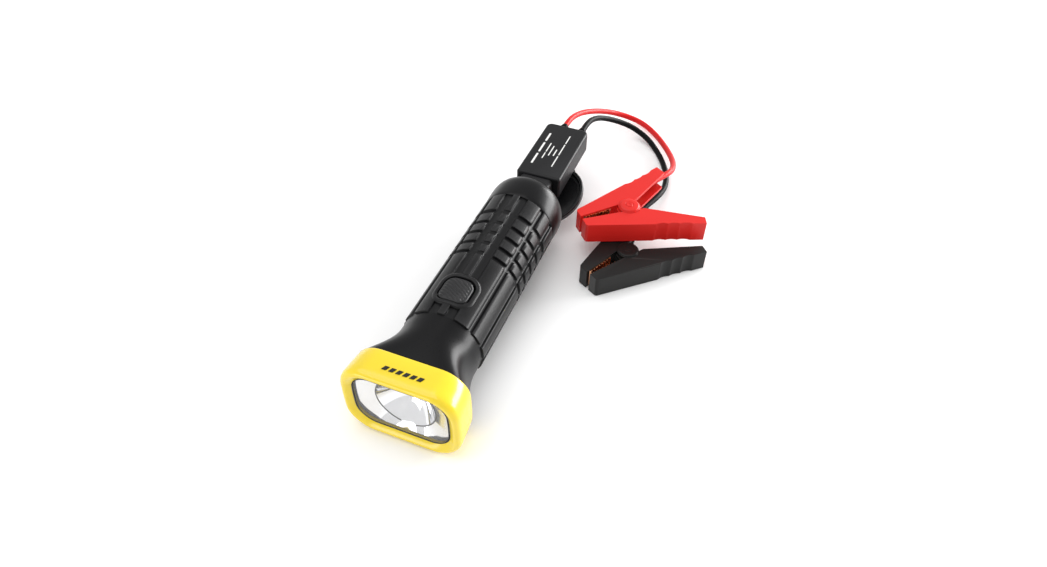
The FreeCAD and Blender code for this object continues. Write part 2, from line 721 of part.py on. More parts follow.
def hinge_placement(opening):
    """The cap hinge's own frame in the torch frame: x along the pin, z towards the axis when shut."""
    turn_deg = cell("hinge_turn").value
    reach = cell("hinge_reach").value
    where = Vector(reach * math.sin(math.radians(turn_deg)),
                   cell("tail_end").value + cell("hinge_back").value,
                   reach * math.cos(math.radians(turn_deg)))
    about_torch = Rotation(Vector(0, 1, 0), turn_deg - 180)
    swing = Rotation(Vector(1, 0, 0), -opening)
    return Placement(where, about_torch.multiply(swing))


def build_cap():
    """Tail cap, drawn shut in the hinge's frame and then swung open."""
    radius, depth, plate = (cell(n).value for n in ("cap_radius", "cap_depth", "cap_plate"))
    reach, back = cell("hinge_reach").value, cell("hinge_back").value
    rim_wall, seat_gap = 2.4, 0.4
    front = -(back - seat_gap)
    axis = Vector(0, 1, 0)
    middle = Vector(0, front, reach)
    dish = Part.makeCylinder(radius, depth, middle, axis)
    rim = [e for e in dish.Edges if e.Curve.TypeId == "Part::GeomCircle"
           and abs(e.CenterOfMass.y - front - depth) < 0.01]
    dish = dish.makeFillet(1.4, rim)
    dish = dish.cut(Part.makeCylinder(radius - rim_wall, depth - plate, middle, axis))
    knuckle, pin, fit = (cell(n).value for n in ("knuckle_radius", "pin_radius", "running_fit"))
    notch_half, ear = cell("lug_width").value / 2 + 0.3, cell("ear_width").value
    notch = Part.makeBox(2 * notch_half, 30, 6.6, Vector(-notch_half, front - 10, -4.2))
    dish = dish.cut(notch)
    plate_front = front + depth - plate
    for side in (-1, 1):
        x = notch_half if side > 0 else -notch_half - ear
        arm = Part.makeBox(ear, -plate_front, 2 * knuckle, Vector(x, plate_front, 0.6 - knuckle))
        barrel = Part.makeCylinder(knuckle, ear, Vector(x, 0, 0), Vector(1, 0, 0))
        dish = dish.fuse(arm).fuse(barrel)
    dish = dish.cut(Part.makeCylinder(pin + fit, 40, Vector(-20, 0, 0), Vector(1, 0, 0)))
    opened = hinge_placement(cell("cap_open").value)
    shape_part(moved(dish.removeSplitter(), opened), "tail_cap")

    seal_out, seal_in, seal_depth = radius - rim_wall - 0.1, radius - rim_wall - 3.0, 1.6
    seal_at = Vector(0, front + depth - plate - seal_depth, reach)
    seal = Part.makeCylinder(seal_out, seal_depth, seal_at, axis)
    seal = seal.cut(Part.makeCylinder(seal_in, seal_depth, seal_at, axis))
    seal = seal.cut(notch)
    shape_part(moved(seal, opened), "cap_gasket")


# ------------------------------------------------------------------ battery and boards
def build_battery():
    radius, length = cell("cell_radius"), cell("cell_length")
    spread = (cell("cell_radius").value + 0.05) * 2 / math.sqrt(3)
    places = [(spread * math.sin(math.radians(a)), spread * math.cos(math.radians(a)))
              for a in (60, 180, 300)]
    front = cell("cells_start")
    rear = front + length + cell("cell_gap")
    for label, start in (("cells_front", front), ("cells_rear", rear)):
        cells = [rod(f"{label}_{i}", radius, length, (x, start, z)) for i, (x, z) in enumerate(places)]
        in_torch_frame(grouped(f"{label}_set", cells), label)

    holders = (("cell_holder_front", front + 2, 5.0), ("cell_holder_middle", rear - 7, 10.0),
               ("cell_holder_rear", rear + length - 7, 5.0))
    for label, start, depth in holders:
        holder = disc(label, cell("barrel_bore") - 0.2, start, depth)
        flat = rectangle(new_sketch(holder, "XZ", -start), 60.0, 20.0, 0, 25.6)
        pocket(holder, flat, depth)
        for x, z in places:
            pocket(holder, circle(new_sketch(holder, "XZ", -start), radius + 0.03, x, z), depth)
        in_torch_frame(holder, label)

    straps = []
    for i, y in enumerate((front - 0.4, rear + length + 0.1)):
        strap = doc.addObject("Part::Prism", f"cell_strap_{i}")
        strap.Polygon = 3
        strap.Circumradius = 19.0
        strap.Height = 0.3
        strap.Placement = Placement(Vector(0, y.value, 0), Rotation(Vector(1, 0, 0), -90)
                                    .multiply(Rotation(Vector(0, 0, 1), 90)))
        bind(strap, "Placement.Base.y", y)
        straps.append(strap)
    for i, (x, z) in enumerate(places):
        straps.append(rod(f"cell_link_{i}", 5.0, cell("cell_gap") - 0.2, (x, front + length + 0.1, z)))
    in_torch_frame(grouped("strap_set", straps), "cell_straps")


def build_boards():
    top, thick = cell("board_top"), 1.6
    board_start, board_length, board_width = 66.0, 62.0, 30.0
    board = block("main_board_box", (board_width, board_length, thick),
                  (-board_width / 2, board_start, top - thick))
    in_torch_frame(grouped("main_board_set", [board]), "main_board")
    chips = [block(f"power_chip_{i}", (6.5, 9.0, 1.8), (-12.0 + 8.6 * i, 112.0, top)) for i in range(3)]
    chips.append(block("control_chip", (7.0, 7.0, 1.0), (4.5, 99.0, top)))
    chips.append(block("coil", (10.0, 10.0, 3.4), (-9.0, 97.5, top)))
    chips += [rod(f"capacitor_{i}", 2.0, 8.0, (-8.0 + 5.2 * i, 68.0, top + 2.0)) for i in range(2)]
    in_torch_frame(grouped("board_part_set", chips), "board_components")


# ------------------------------------------------------------------ smart module and plug
def build_module():
    start, end = cell("module_start"), cell("module_end")
    width, height, middle = cell("module_width"), cell("module_height"), cell("plug_height")
    wall, screw_drop = 2.0, 5.0
    shift = cell("module_shift")
    screw_places = [(shift + (width / 2 - 2.1) * side, y)
                    for side in (-1, 1) for y in (start + 5, end - 10.5)]
    for label, side in (("module_top_shell", 1), ("module_bottom_shell", -1)):
        shell = new_body(label)
        outline = rectangle(new_sketch(shell, "XY", middle), width, end - start, shift, (start + end) / 2)
        pad(shell, outline, height / 2, back=side < 0)
        round_edges(shell, 5.0, lambda e: along("z")(e) and e.CenterOfMass.y > 280)
        round_edges(shell, 2.0, lambda e: along("z")(e) and e.CenterOfMass.y < 240)
        face = middle.value + side * height.value / 2
        round_edges(shell, 2.2, lambda e: abs(e.CenterOfMass.z - face) < 0.01)
        room = rectangle(new_sketch(shell, "XY", middle), width - wall * 4, end - start - wall * 4, shift,
                         (start + end) / 2)
        pocket(shell, room, height / 2 - wall, back=side > 0)
        holes = new_sketch(shell, "XY", middle)
        for x, y in screw_places:
            circle(holes, 0.9, x, y)
        pocket(shell, holes, 3.2 if side > 0 else height, back=side > 0)
        if side < 0:
            sinks = new_sketch(shell, "XY", middle - screw_drop)
            for x, y in screw_places:
                circle(sinks, 1.65, x, y)
            pocket(shell, sinks, height)
        in_torch_frame(shell, label)

    board_z = middle - 1.8
    board = block("module_board_box", (22.0, 52.0, 1.6), (-11.0, start + 6, board_z))
    in_torch_frame(grouped("module_board_set", [board]), "module_board")
    relays = [block(f"relay_{i}", (9.0, 15.0, 6.2), (-10.0 + 11.0 * i, start + 22, board_z + 1.6))
              for i in range(2)]
    in_torch_frame(grouped("relay_set", relays), "module_relays")
    screws = []
    for i, (x, y) in enumerate(screw_places):
        shank = rod(f"module_screw_shank_{i}", 0.9, screw_drop + 3, (x, y, middle - screw_drop), "z")
        head = rod(f"module_screw_head_{i}", 1.55, 1.2, (x, y, middle - screw_drop - 1.2), "z")
        screws.append(fused(f"module_screw_{i}", [shank, head]))
    in_torch_frame(grouped("module_screw_set", screws), "module_screws")

    # The plug: a shoulder between torch and module, and two hollow prongs in the socket.
    spacing = cell("plug_spacing")
    plug = new_body("plug_body")
    shoulder_start = 214.0
    pad(plug, rectangle(new_sketch(plug, "XZ", -shoulder_start), 26.0, 14.0, 0, middle),
        start - shoulder_start, back=True)
    round_edges(plug, 3.0, along("y"))
    prongs = new_sketch(plug, "XZ", -shoulder_start)
    for side in (-1, 1):
        circle(prongs, 4.1, spacing / 2 * side, middle)
    pad(plug, prongs, 11.0)
    bores = new_sketch(plug, "XZ", -(shoulder_start - 11.0))
    for side in (-1, 1):
        circle(bores, 3.4, spacing / 2 * side, middle)
    pocket(plug, bores, 10.0)
    in_torch_frame(plug, "plug_body")
    tubes = []
    for i, side in enumerate((-1, 1)):
        outer = rod(f"plug_tube_{i}", 3.4, 9.6, (spacing / 2 * side, shoulder_start - 10.6, middle))
        inner = rod(f"plug_tube_bore_{i}", 2.7, 9.6, (spacing / 2 * side, shoulder_start - 10.6, middle))
        tubes.append(without(f"plug_contact_{i}", outer, inner))
    in_torch_frame(grouped("plug_contact_set", tubes), "plug_contacts")

    for color, side in (("red", -1), ("black", 1)):
        cone = doc.addObject("Part::Cone", f"{color}_relief")
        bind(cone, "Radius1", 3.6)
        bind(cone, "Radius2", cell("cable_diameter") / 2 + 0.5)
        bind(cone, "Height", cell("relief_length"))
        cone.Placement = Placement(Vector(0, 0, 0), Rotation(Vector(1, 0, 0), -90))
        bind(cone, "Placement.Base.x", cell("cable_shift") + cell("cable_exit") * side)
        bind(cone, "Placement.Base.y", end)
        bind(cone, "Placement.Base.z", cell("cable_height"))
        label = f"{color}_strain_relief"
        in_torch_frame(grouped(f"{label}_set", [cone]), label)


# ------------------------------------------------------------------ clamps
JAW_MOUTH = (1.6, 0.085)     # gap edge at the tip, and how fast it widens towards the pivot
CABLE_INSET = 5.2            # cable's line inside the back of the handle
HANDLE_RUN = 20.0            # cable inside the handle, from its end to the lug
LUG_LENGTH = 11.0


def back_line(u):
    """Height v of a clamp half's straight back at u."""
    return cell("tip_width") + (cell("jaw_reach") + u) * cell("handle_slope")


def half_outline(name, side):
    """The outline of one clamp half; side 1 is +v, -1 is -v."""
    jaw, handle = cell("jaw_reach"), cell(f"{name}_reach")
    mouth, rise = JAW_MOUTH
    corners = [
        (-jaw, Size.of(mouth)),
        (-jaw, cell("tip_width")),
        (handle, back_line(handle)),
        (handle + 2.4, back_line(handle) - cell(f"{name}_tip")),
        (10.0, Size.of(6.2)),
        (-10.0, Size.of(mouth + 30.5 * rise)),
    ]
    return [(u, v * side) for u, v in corners]


def build_clamp(color, level):
    """One clamp: a half that holds the cable, the lever half, copper jaws, rivet and spring."""
    jaw, reach = cell("jaw_reach"), cell("lever_reach")
    height, plate, wall = cell("clamp_height"), cell("clamp_plate"), cell("clamp_wall")
    ear, rivet, fit = cell("ear_radius"), cell("rivet_radius"), cell("running_fit")
    boss = cell("boss_height")
    mid_height = height / 2 + (height + boss + cell("stack_gap")) * level

    def set_down(thing, label):
        angle = cell(f"{color}_turn")
        y = cell("front_y") + cell(f"{color}_back")
        thing.Placement = Placement(Vector(cell(f"{color}_x").value, y.value, mid_height.value),
                                    Rotation(Vector(0, 0, 1), angle.value))
        bind(thing, "Placement.Base.x", cell(f"{color}_x"))
        bind(thing, "Placement.Base.y", y)
        bind(thing, "Placement.Base.z", mid_height)
        bind(thing, "Placement.Rotation.Angle", angle)
        return keep(thing, label)

    inner_height = height - plate * 2

    def hollow(side):
        """The hollow of the channel-shaped half, open on its inner side and at the handle's end."""
        near, far = -jaw + 5.0, reach + 12
        inner_side = Size.of(-14.0)
        corners = [(near, inner_side), (near, back_line(near) - wall), (far, back_line(far) - wall),
                   (far, inner_side)]
        return [(u, v * side) for u, v in corners]

    def channel_half(name, side):
        """One moulded half: outline, rounded nose, finger grips on the back, hollow inside."""
        half = new_body(f"{color}_{name}_half")
        pad(half, polygon(new_sketch(half, "XY"), half_outline(name, side)), height, midplane=True)
        round_edges(half, 2.5, lambda e: along("z")(e) and e.CenterOfMass.x < -40
                    and abs(e.CenterOfMass.y) > 5)
        for u in (11.0, 19.5, 28.0):
            grip = circle(new_sketch(half, "XY"), 12.0, u, (back_line(u) + 11.2) * side)
            pocket(half, grip, height, midplane=True)
        return half

    cable_half = channel_half("cable", 1)
    pad(cable_half, circle(new_sketch(cable_half, "XY"), ear), height, midplane=True)
    pocket(cable_half, polygon(new_sketch(cable_half, "XY"), hollow(1)), inner_height, midplane=True)
    pad(cable_half, circle(new_sketch(cable_half, "XY", height / 2), ear - 0.6), boss)
    hole = circle(new_sketch(cable_half, "XY", height / 2 + boss), rivet)
    pocket(cable_half, hole, height + boss)
    seat = circle(new_sketch(cable_half, "XY", height / 2 + boss), rivet + 1.2)
    pocket(cable_half, seat, 0.7)
    set_down(cable_half, f"{color}_clamp_cable_half")

    # The lever half's ears run inside the cable half's plates.
    ear_out, ear_in, clear = height / 2 - plate - 0.3, 4.0, 0.4
    lever = channel_half("lever", -1)
    pocket(lever, polygon(new_sketch(lever, "XY"), hollow(-1)), inner_height, midplane=True)
    bridge = [(-12.0, -5.2), (12.0, -8.2), (14.0, -17.0), (-12.0, -14.0)]
    pad(lever, polygon(new_sketch(lever, "XY"), bridge), inner_height + 0.2, midplane=True)
    pocket(lever, circle(new_sketch(lever, "XY"), ear + clear), height, midplane=True)
    pad(lever, circle(new_sketch(lever, "XY"), ear + clear + 0.6), ear_out * 2, midplane=True)
    spring_room = [(-13.0, 10.0), (16.0, 10.0), (16.0, -18.0), (-13.0, -18.0)]
    pocket(lever, polygon(new_sketch(lever, "XY"), spring_room), ear_in * 2, midplane=True)
    pocket(lever, circle(new_sketch(lever, "XY"), rivet + fit), height, midplane=True)
    set_down(lever, f"{color}_clamp_lever_half")

    # Copper jaws: a toothed strip along the mouth with a tongue in the plastic's hollow.
    mouth, rise = JAW_MOUTH
    tooth, strip, pitch, teeth = 0.62, 0.72, 3.0, 9
    jaw_tip = -jaw.value + 0.4
    for side, name in ((1, "cable"), (-1, "lever")):
        def edge(u):
            return mouth + rise * (u + jaw.value) - 0.02
        low = []
        for i in range(teeth):
            u = jaw_tip + pitch * i
            low += [(u, edge(u) - strip), (u + pitch / 2, edge(u + pitch / 2) - strip - tooth)]
        end_u = jaw_tip + pitch * teeth
        corners = [(jaw_tip, edge(jaw_tip))] + low + [(end_u, edge(end_u) - strip), (end_u, edge(end_u))]
        jaw_body = new_body(f"{color}_{name}_jaw")
        pad(jaw_body, polygon(new_sketch(jaw_body, "XY"), [(u, v * side) for u, v in corners]),
            height - 2.0, midplane=True)
        tongue = [(-jaw.value + 5.4, edge(-35) - 0.3), (-jaw.value + 5.4, 8.2), (-14.0, 13.5),
                  (-14.0, edge(-14) - 0.3)]
        pad(jaw_body, polygon(new_sketch(jaw_body, "XY"), [(u, v * side) for u, v in tongue]),
            inner_height - 0.4, midplane=True)
        set_down(jaw_body, f"{color}_clamp_{name}_jaw")

    shank = rod(f"{color}_rivet_shank", rivet, height + boss - 0.1, (0, 0, -height / 2), "z")
    head = rod(f"{color}_rivet_head", rivet + 1.0, 0.6, (0, 0, height / 2 + boss - 0.7), "z")
    set_down(fused(f"{color}_rivet_set", [shank, head]), f"{color}_clamp_rivet")

    coil_out, coil_in = 4.4, 3.2
    coils = []
    for i in range(3):
        z = -3.6 + 2.5 * i
        outer = rod(f"{color}_coil_{i}", coil_out, 2.2, (0, 0, z), "z")
        inner = rod(f"{color}_coil_bore_{i}", coil_in, 2.2, (0, 0, z), "z")
        coils.append(without(f"{color}_turn_{i}", outer, inner))
    set_down(grouped(f"{color}_spring_set", coils), f"{color}_clamp_spring")

    # Crimped lug at the cable's end, inside the cable half.
    lug = doc.addObject("Part::Cylinder", f"{color}_lug_tube")
    lug.Radius = 2.8
    lug.Height = LUG_LENGTH
    start, end = handle_spot(-HANDLE_RUN - LUG_LENGTH), handle_spot(-HANDLE_RUN)
    lug.Placement = Placement(start, Rotation(Vector(0, 0, 1), end - start))
    set_down(grouped(f"{color}_lug_set", [lug]), f"{color}_cable_lug")
    return mid_height


def handle_spot(beyond):
    """A point on the cable's line in the clamp frame, so far out from the handle's end."""
    angle = math.atan(cell("handle_slope").value)
    end = cell("cable_reach")
    u = end.value + CABLE_INSET * math.sin(angle) + beyond * math.cos(angle)
    v = back_line(end).value - CABLE_INSET * math.cos(angle) + beyond * math.sin(angle)
    return Vector(u, v, 0)


def handle_point(color, mid_height, beyond):
    """The same point behind the lamp face and above the floor."""
    spot = Rotation(Vector(0, 0, 1), cell(f"{color}_turn").value).multVec(handle_spot(beyond))
    return spot + Vector(cell(f"{color}_x").value, cell(f"{color}_back").value, mid_height.value)


# ------------------------------------------------------------------ cables
def cable(label, route):
    """A round tube along straight runs joined by tangent arcs, in the row frame."""
    radius = cell("cable_diameter").value / 2
    pieces, radii, here, length = [], [], route[0], 0.0
    for i in range(1, len(route) - 1):
        before, corner, after = route[i - 1], route[i], route[i + 1]
        run_in, run_out = corner - before, after - corner
        turn_angle = run_in.getAngle(run_out)
        setback = 0.45 * min(run_in.Length, run_out.Length)
        radii.append(setback / math.tan(turn_angle / 2))
        arc_start = corner - Vector(run_in).normalize() * setback
        arc_end = corner + Vector(run_out).normalize() * setback
        to_middle = (arc_start + arc_end) * 0.5 - corner
        centre = corner + Vector(to_middle).normalize() * (radii[-1] / math.cos(turn_angle / 2))
        arc_middle = centre - Vector(to_middle).normalize() * radii[-1]
        pieces.append(Part.LineSegment(here, arc_start).toShape())
        pieces.append(Part.Arc(arc_start, arc_middle, arc_end).toShape())
        here = arc_end
    pieces.append(Part.LineSegment(here, route[-1]).toShape())
    path = Part.Wire(pieces)
    first_way = (route[1] - route[0]).normalize()
    ring = Part.Wire([Part.Circle(route[0], first_way, radius).toShape()])
    tube = path.makePipeShell([ring], True, False)
    expected = math.pi * radius ** 2 * path.Length
    if abs(tube.Volume - expected) > 0.01 * expected:
        raise RuntimeError(f"{label}: volume {tube.Volume:.1f}, section times length {expected:.1f}")
    print(f"{label}: {path.Length:.1f} mm long, arc radii", [round(r, 1) for r in radii])
    thing = doc.addObject("Part::Feature", label)
    thing.Shape = tube
    thing.Placement = Placement(Vector(0, cell("front_y").value, 0), Rotation())
    bind(thing, "Placement.Base.y", cell("front_y"))
    keep(thing, label)


def build_cables(red_level, black_level):
    start_y = cell("module_end").value + cell("relief_length").value
    start_z = AXIS_HEIGHT.value + cell("cable_height").value
    for color, side, points, level in (("red", -1, RED_ROUTE, red_level),
                                       ("black", 1, BLACK_ROUTE, black_level)):
        route = [Vector(cell("cable_shift").value + cell("cable_exit").value * side, start_y, start_z)]
        route += [Vector(*p) for p in points]
        route += [handle_point(color, level, 8.0), handle_point(color, level, -HANDLE_RUN)]
        cable(f"{color}_cable", route)


# The cables' routes as laid: (x, y behind the lamp face, z above the floor).
RED_ROUTE = [
    (-5.4, 322.5, 40.4),
    (-4.9, 338.5, 36.0),
    (-1.5, 357.0, 29.5),
    (8.5, 379.0, 20.0),
    (23.0, 396.5, 9.5),
    (43.0, 400.5, 3.0),
    (61.0, 386.0, 2.6),
    (76.5, 363.0, 6.0),
    (88.0, 337.0, 13.0),
    (92.0, 315.0, 20.5),
]
BLACK_ROUTE = [
    (10.6, 322.5, 40.4),
    (11.0, 338.5, 36.0),
    (15.0, 354.5, 29.0),
    (26.0, 368.5, 20.0),
    (39.5, 377.0, 11.5),
    (55.0, 375.0, 4.6),
    (67.5, 362.0, 2.6),
    (78.0, 346.0, 2.5),
    (86.0, 327.0, 3.0),
    (89.0, 307.5, 4.6),
    (86.0, 288.0, 7.2),
]


# ------------------------------------------------------------------ build, check, write
build_head()
build_neck()
build_barrel()
build_grip()
build_button()
build_tail()
build_cap()
build_battery()
build_boards()
build_module()
black_mid = build_clamp("black", 0)
red_mid = build_clamp("red", 1)
build_cables(red_mid, black_mid)
doc.recompute()

for thing in doc.Objects:
    if "Invalid" in thing.State or "Error" in thing.State:
        raise RuntimeError(f"{thing.Name} ({thing.Label}) failed: {thing.State}")
os.makedirs("parts", exist_ok=True)
for part in SUBPARTS:
    shape = part.Shape
    if shape.isNull() or not shape.isValid() or not shape.Solids:
        raise RuntimeError(f"{part.Label} has no valid solid")
    shape.exportStep(f"parts/{part.Label}.step")
print(f"{len(SUBPARTS)} sub-parts written")
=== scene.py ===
"""Looks of the torch jump starter: detailed visible pieces, materials, light and camera."""

import json
import math

import bmesh
import bpy
from mathutils import Matrix, Quaternion, Vector

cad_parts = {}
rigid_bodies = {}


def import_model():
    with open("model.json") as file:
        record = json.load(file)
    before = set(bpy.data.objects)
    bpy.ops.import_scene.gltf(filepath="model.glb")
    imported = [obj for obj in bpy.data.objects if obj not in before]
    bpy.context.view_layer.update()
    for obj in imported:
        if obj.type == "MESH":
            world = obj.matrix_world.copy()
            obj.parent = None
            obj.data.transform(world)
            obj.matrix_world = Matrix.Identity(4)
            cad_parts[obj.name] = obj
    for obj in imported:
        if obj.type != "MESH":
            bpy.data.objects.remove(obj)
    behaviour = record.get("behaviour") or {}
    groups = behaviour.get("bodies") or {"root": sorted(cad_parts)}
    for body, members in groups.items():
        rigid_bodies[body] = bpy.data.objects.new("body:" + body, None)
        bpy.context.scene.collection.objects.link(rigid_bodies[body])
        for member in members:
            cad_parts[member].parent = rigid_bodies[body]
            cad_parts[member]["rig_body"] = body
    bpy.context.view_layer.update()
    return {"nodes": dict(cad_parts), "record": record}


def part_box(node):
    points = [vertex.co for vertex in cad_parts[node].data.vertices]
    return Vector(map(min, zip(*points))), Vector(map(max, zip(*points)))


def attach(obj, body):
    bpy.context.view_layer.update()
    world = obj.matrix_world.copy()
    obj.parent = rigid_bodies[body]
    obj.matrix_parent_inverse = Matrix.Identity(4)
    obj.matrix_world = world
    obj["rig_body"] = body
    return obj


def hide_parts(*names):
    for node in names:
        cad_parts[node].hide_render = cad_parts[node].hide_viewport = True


MM = 0.001

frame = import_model()

# ------------------------------------------------------------------ where the torch lies
bezel_low, bezel_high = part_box("bezel")
FRONT = bezel_low.y / MM
AXIS = (bezel_low.z + bezel_high.z) / 2 / MM


def row(x, y, z):
    """A point of the torch frame (mm from the lamp's front face and the axis) in the row frame."""
    return Vector((x, y + FRONT, z + AXIS)) * MM


def torch_box(node):
    """A node's lowest and highest corners in the torch frame, in mm."""
    low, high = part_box(node)
    place = Vector((0, FRONT, AXIS))
    return low / MM - place, high / MM - place


def joint_place(name):
    """Where a joint of the record is, in metres in the row frame."""
    joint = next(j for j in frame["record"]["behaviour"]["joints"] if j["name"] == name)
    return Vector(joint["pos_m"])


# ------------------------------------------------------------------ materials
def new_material(name):
    made = bpy.data.materials.new(name)
    made.use_nodes = True
    nodes = made.node_tree.nodes
    return made, nodes, made.node_tree.links, nodes["Principled BSDF"]


def noise(nodes, links, scale, detail=2.0):
    """A noise pattern fixed to the piece."""
    place = nodes.new("ShaderNodeTexCoord")
    pattern = nodes.new("ShaderNodeTexNoise")
    pattern.inputs["Scale"].default_value = scale
    pattern.inputs["Detail"].default_value = detail
    links.new(place.outputs["Object"], pattern.inputs["Vector"])
    return pattern.outputs["Fac"]


def spread_over(nodes, links, pattern, low, high, target):
    """Drive a shader socket between two values by a pattern."""
    level = nodes.new("ShaderNodeMapRange")
    level.inputs["To Min"].default_value = low
    level.inputs["To Max"].default_value = high
    links.new(pattern, level.inputs["Value"])
    links.new(level.outputs["Result"], target)


def finish(name, color, rough=0.4, metal=0.0, spread=0.08, grain=400.0, bump=0.0, coat=0.0,
           rough_spread=0.06, specular=0.5, painted_edge_highlight=0.0):
    """A plastic, rubber or metal: colour and gloss vary softly, with a fine grain in relief.

    painted_edge_highlight lightens the outward edges by that much: a painted highlight where light
    catches the edges.
    """
    made, nodes, links, shader = new_material(name)
    blend = nodes.new("ShaderNodeMix")
    blend.data_type = "RGBA"
    blend.inputs["A"].default_value = [c * (1 - spread) for c in color] + [1]
    blend.inputs["B"].default_value = [min(1, c * (1 + spread)) for c in color] + [1]
    links.new(noise(nodes, links, 38.0, 3.0), blend.inputs["Factor"])
    base = blend.outputs["Result"]
    # Painted highlight: the colour is lightened along sharp outward edges, standing in for light catching
    # them.
    if painted_edge_highlight:
        shape = nodes.new("ShaderNodeNewGeometry")
        edges = nodes.new("ShaderNodeMapRange")
        edges.inputs["From Min"].default_value = 0.52
        edges.inputs["From Max"].default_value = 0.66
        edges.inputs["To Max"].default_value = painted_edge_highlight
        links.new(shape.outputs["Pointiness"], edges.inputs["Value"])
        edge_highlit = nodes.new("ShaderNodeMix")
        edge_highlit.data_type = "RGBA"
        edge_highlit.inputs["B"].default_value = [min(1, c * 3 + 0.05) for c in color] + [1]
        links.new(edges.outputs["Result"], edge_highlit.inputs["Factor"])
        links.new(base, edge_highlit.inputs["A"])
        base = edge_highlit.outputs["Result"]
    links.new(base, shader.inputs["Base Color"])
    fine = noise(nodes, links, grain)
    spread_over(nodes, links, fine, max(0.02, rough - rough_spread), min(1.0, rough + rough_spread),
                shader.inputs["Roughness"])
    if bump:
        relief = nodes.new("ShaderNodeBump")
        relief.inputs["Strength"].default_value = bump
        relief.inputs["Distance"].default_value = 0.0002
        links.new(fine, relief.inputs["Height"])
        links.new(relief.outputs["Normal"], shader.inputs["Normal"])
    shader.inputs["Metallic"].default_value = metal
    shader.inputs["Coat Weight"].default_value = coat
    shader.inputs["Coat Roughness"].default_value = 0.12
    shader.inputs["Specular IOR Level"].default_value = specular
    return made


def clear_window(name):
    """The lamp's clear window: sees through, with a faint reflection."""
    made, nodes, links, shader = new_material(name)
    spread_over(nodes, links, noise(nodes, links, 60.0), 0.02, 0.06, shader.inputs["Roughness"])
    shader.inputs["Base Color"].default_value = (0.97, 0.98, 1.0, 1)
    shader.inputs["Alpha"].default_value = 0.08
    return made


def glowing(name, color, strength):
    """A lit LED whose face is mottled by its phosphor."""
    made, nodes, links, shader = new_material(name)
    spread_over(nodes, links, noise(nodes, links, 900.0), strength * 0.8, strength * 1.2,
                shader.inputs["Emission Strength"])
    shader.inputs["Base Color"].default_value = (*color, 1)
    shader.inputs["Emission Color"].default_value = (*color, 1)
    return made


LOOKS = {
    "bezel_yellow": finish("yellow_gloss", (0.80, 0.60, 0.012), 0.24, spread=0.05, coat=0.4,
                           rough_spread=0.04),
    "lens_clear": clear_window("clear_window"),
    "seal_rubber": finish("seal_rubber", (0.010, 0.010, 0.011), 0.6, bump=0.2, specular=0.2),
    "reflector_chrome": finish("reflector_chrome", (0.93, 0.93, 0.95), 0.07, metal=1.0, spread=0.02,
                               rough_spread=0.03),
    "board_green": finish("board_green", (0.02, 0.12, 0.05), 0.35),
    "led_white": glowing("led_white", (1.0, 0.98, 0.93), 6.0),
    "heatsink_alu": finish("heatsink_alu", (0.72, 0.72, 0.74), 0.35, metal=1.0),
    "housing_black": finish("housing_gloss", (0.003, 0.003, 0.0035), 0.30, coat=0.05, grain=900,
                            bump=0.04, specular=0.17),
    "shell_black": finish("shell_black", (0.02, 0.02, 0.022), 0.5),
    "grip_rubber": finish("grip_rubber", (0.004, 0.004, 0.0045), 0.36, grain=1400, bump=0.25,
                          specular=0.22, painted_edge_highlight=0.35),
    "socket_plastic": finish("socket_plastic", (0.012, 0.012, 0.012), 0.5, bump=0.1, specular=0.3),
    "contact_brass": finish("contact_brass", (0.85, 0.62, 0.25), 0.25, metal=1.0),
    "port_metal": finish("port_metal", (0.68, 0.68, 0.70), 0.28, metal=1.0),
    "cell_wrap": finish("cell_wrap", (0.03, 0.16, 0.36), 0.35),
    "strap_nickel": finish("strap_nickel", (0.72, 0.70, 0.66), 0.35, metal=1.0),
    "holder_plastic": finish("holder_plastic", (0.03, 0.03, 0.03), 0.5),
    "screw_steel": finish("screw_steel", (0.60, 0.60, 0.62), 0.30, metal=1.0),
    "chip_black": finish("chip_black", (0.02, 0.02, 0.02), 0.45),
    "button_black": finish("button_rubber", (0.018, 0.018, 0.019), 0.36, grain=1400, bump=0.15,
                           specular=0.28, painted_edge_highlight=0.12),
    "cap_grey": finish("cap_plastic", (0.006, 0.006, 0.007), 0.30, grain=800, bump=0.08,
                       specular=0.30, painted_edge_highlight=0.4),
    "module_black": finish("module_plastic", (0.008, 0.008, 0.009), 0.40, grain=1800, bump=0.3,
                           specular=0.22, painted_edge_highlight=0.45),
    "relay_black": finish("relay_black", (0.03, 0.03, 0.03), 0.5),
    "plug_black": finish("plug_black", (0.012, 0.012, 0.013), 0.45, bump=0.1, specular=0.3),
    "cable_red": finish("cable_red", (0.58, 0.008, 0.008), 0.40, grain=700, bump=0.05, specular=0.18),
    "cable_black": finish("cable_black", (0.003, 0.003, 0.0035), 0.42, grain=700, bump=0.05,
                          specular=0.08),
    "clamp_red": finish("clamp_red", (0.66, 0.016, 0.012), 0.36, grain=1200, bump=0.12, spread=0.05,
                        specular=0.3),
    "clamp_black": finish("clamp_black", (0.008, 0.0078, 0.0075), 0.38, grain=1200, bump=0.15,
                          specular=0.22, painted_edge_highlight=0.5),
    "jaw_copper": finish("jaw_copper", (0.70, 0.34, 0.19), 0.26, metal=1.0, spread=0.25, grain=250),
    "spring_steel": finish("spring_steel", (0.50, 0.50, 0.52), 0.30, metal=1.0),
}
MARK_WHITE = finish("mark_white", (0.80, 0.80, 0.78), 0.5, spread=0.04)
MARK_BLACK = finish("mark_black", (0.012, 0.011, 0.010), 0.45, specular=0.3)

SLOTS = {piece["node"]: piece["material_slot"] for piece in frame["record"]["subparts"]}
for node, thing in frame["nodes"].items():
    thing.data.materials.clear()
    thing.data.materials.append(LOOKS[SLOTS[node]])


# ------------------------------------------------------------------ meshes
ROUND_STEPS = 128
# Edges of a CAD piece sharper than this, in degrees, are rounded.
SOFT_ANGLE = 35


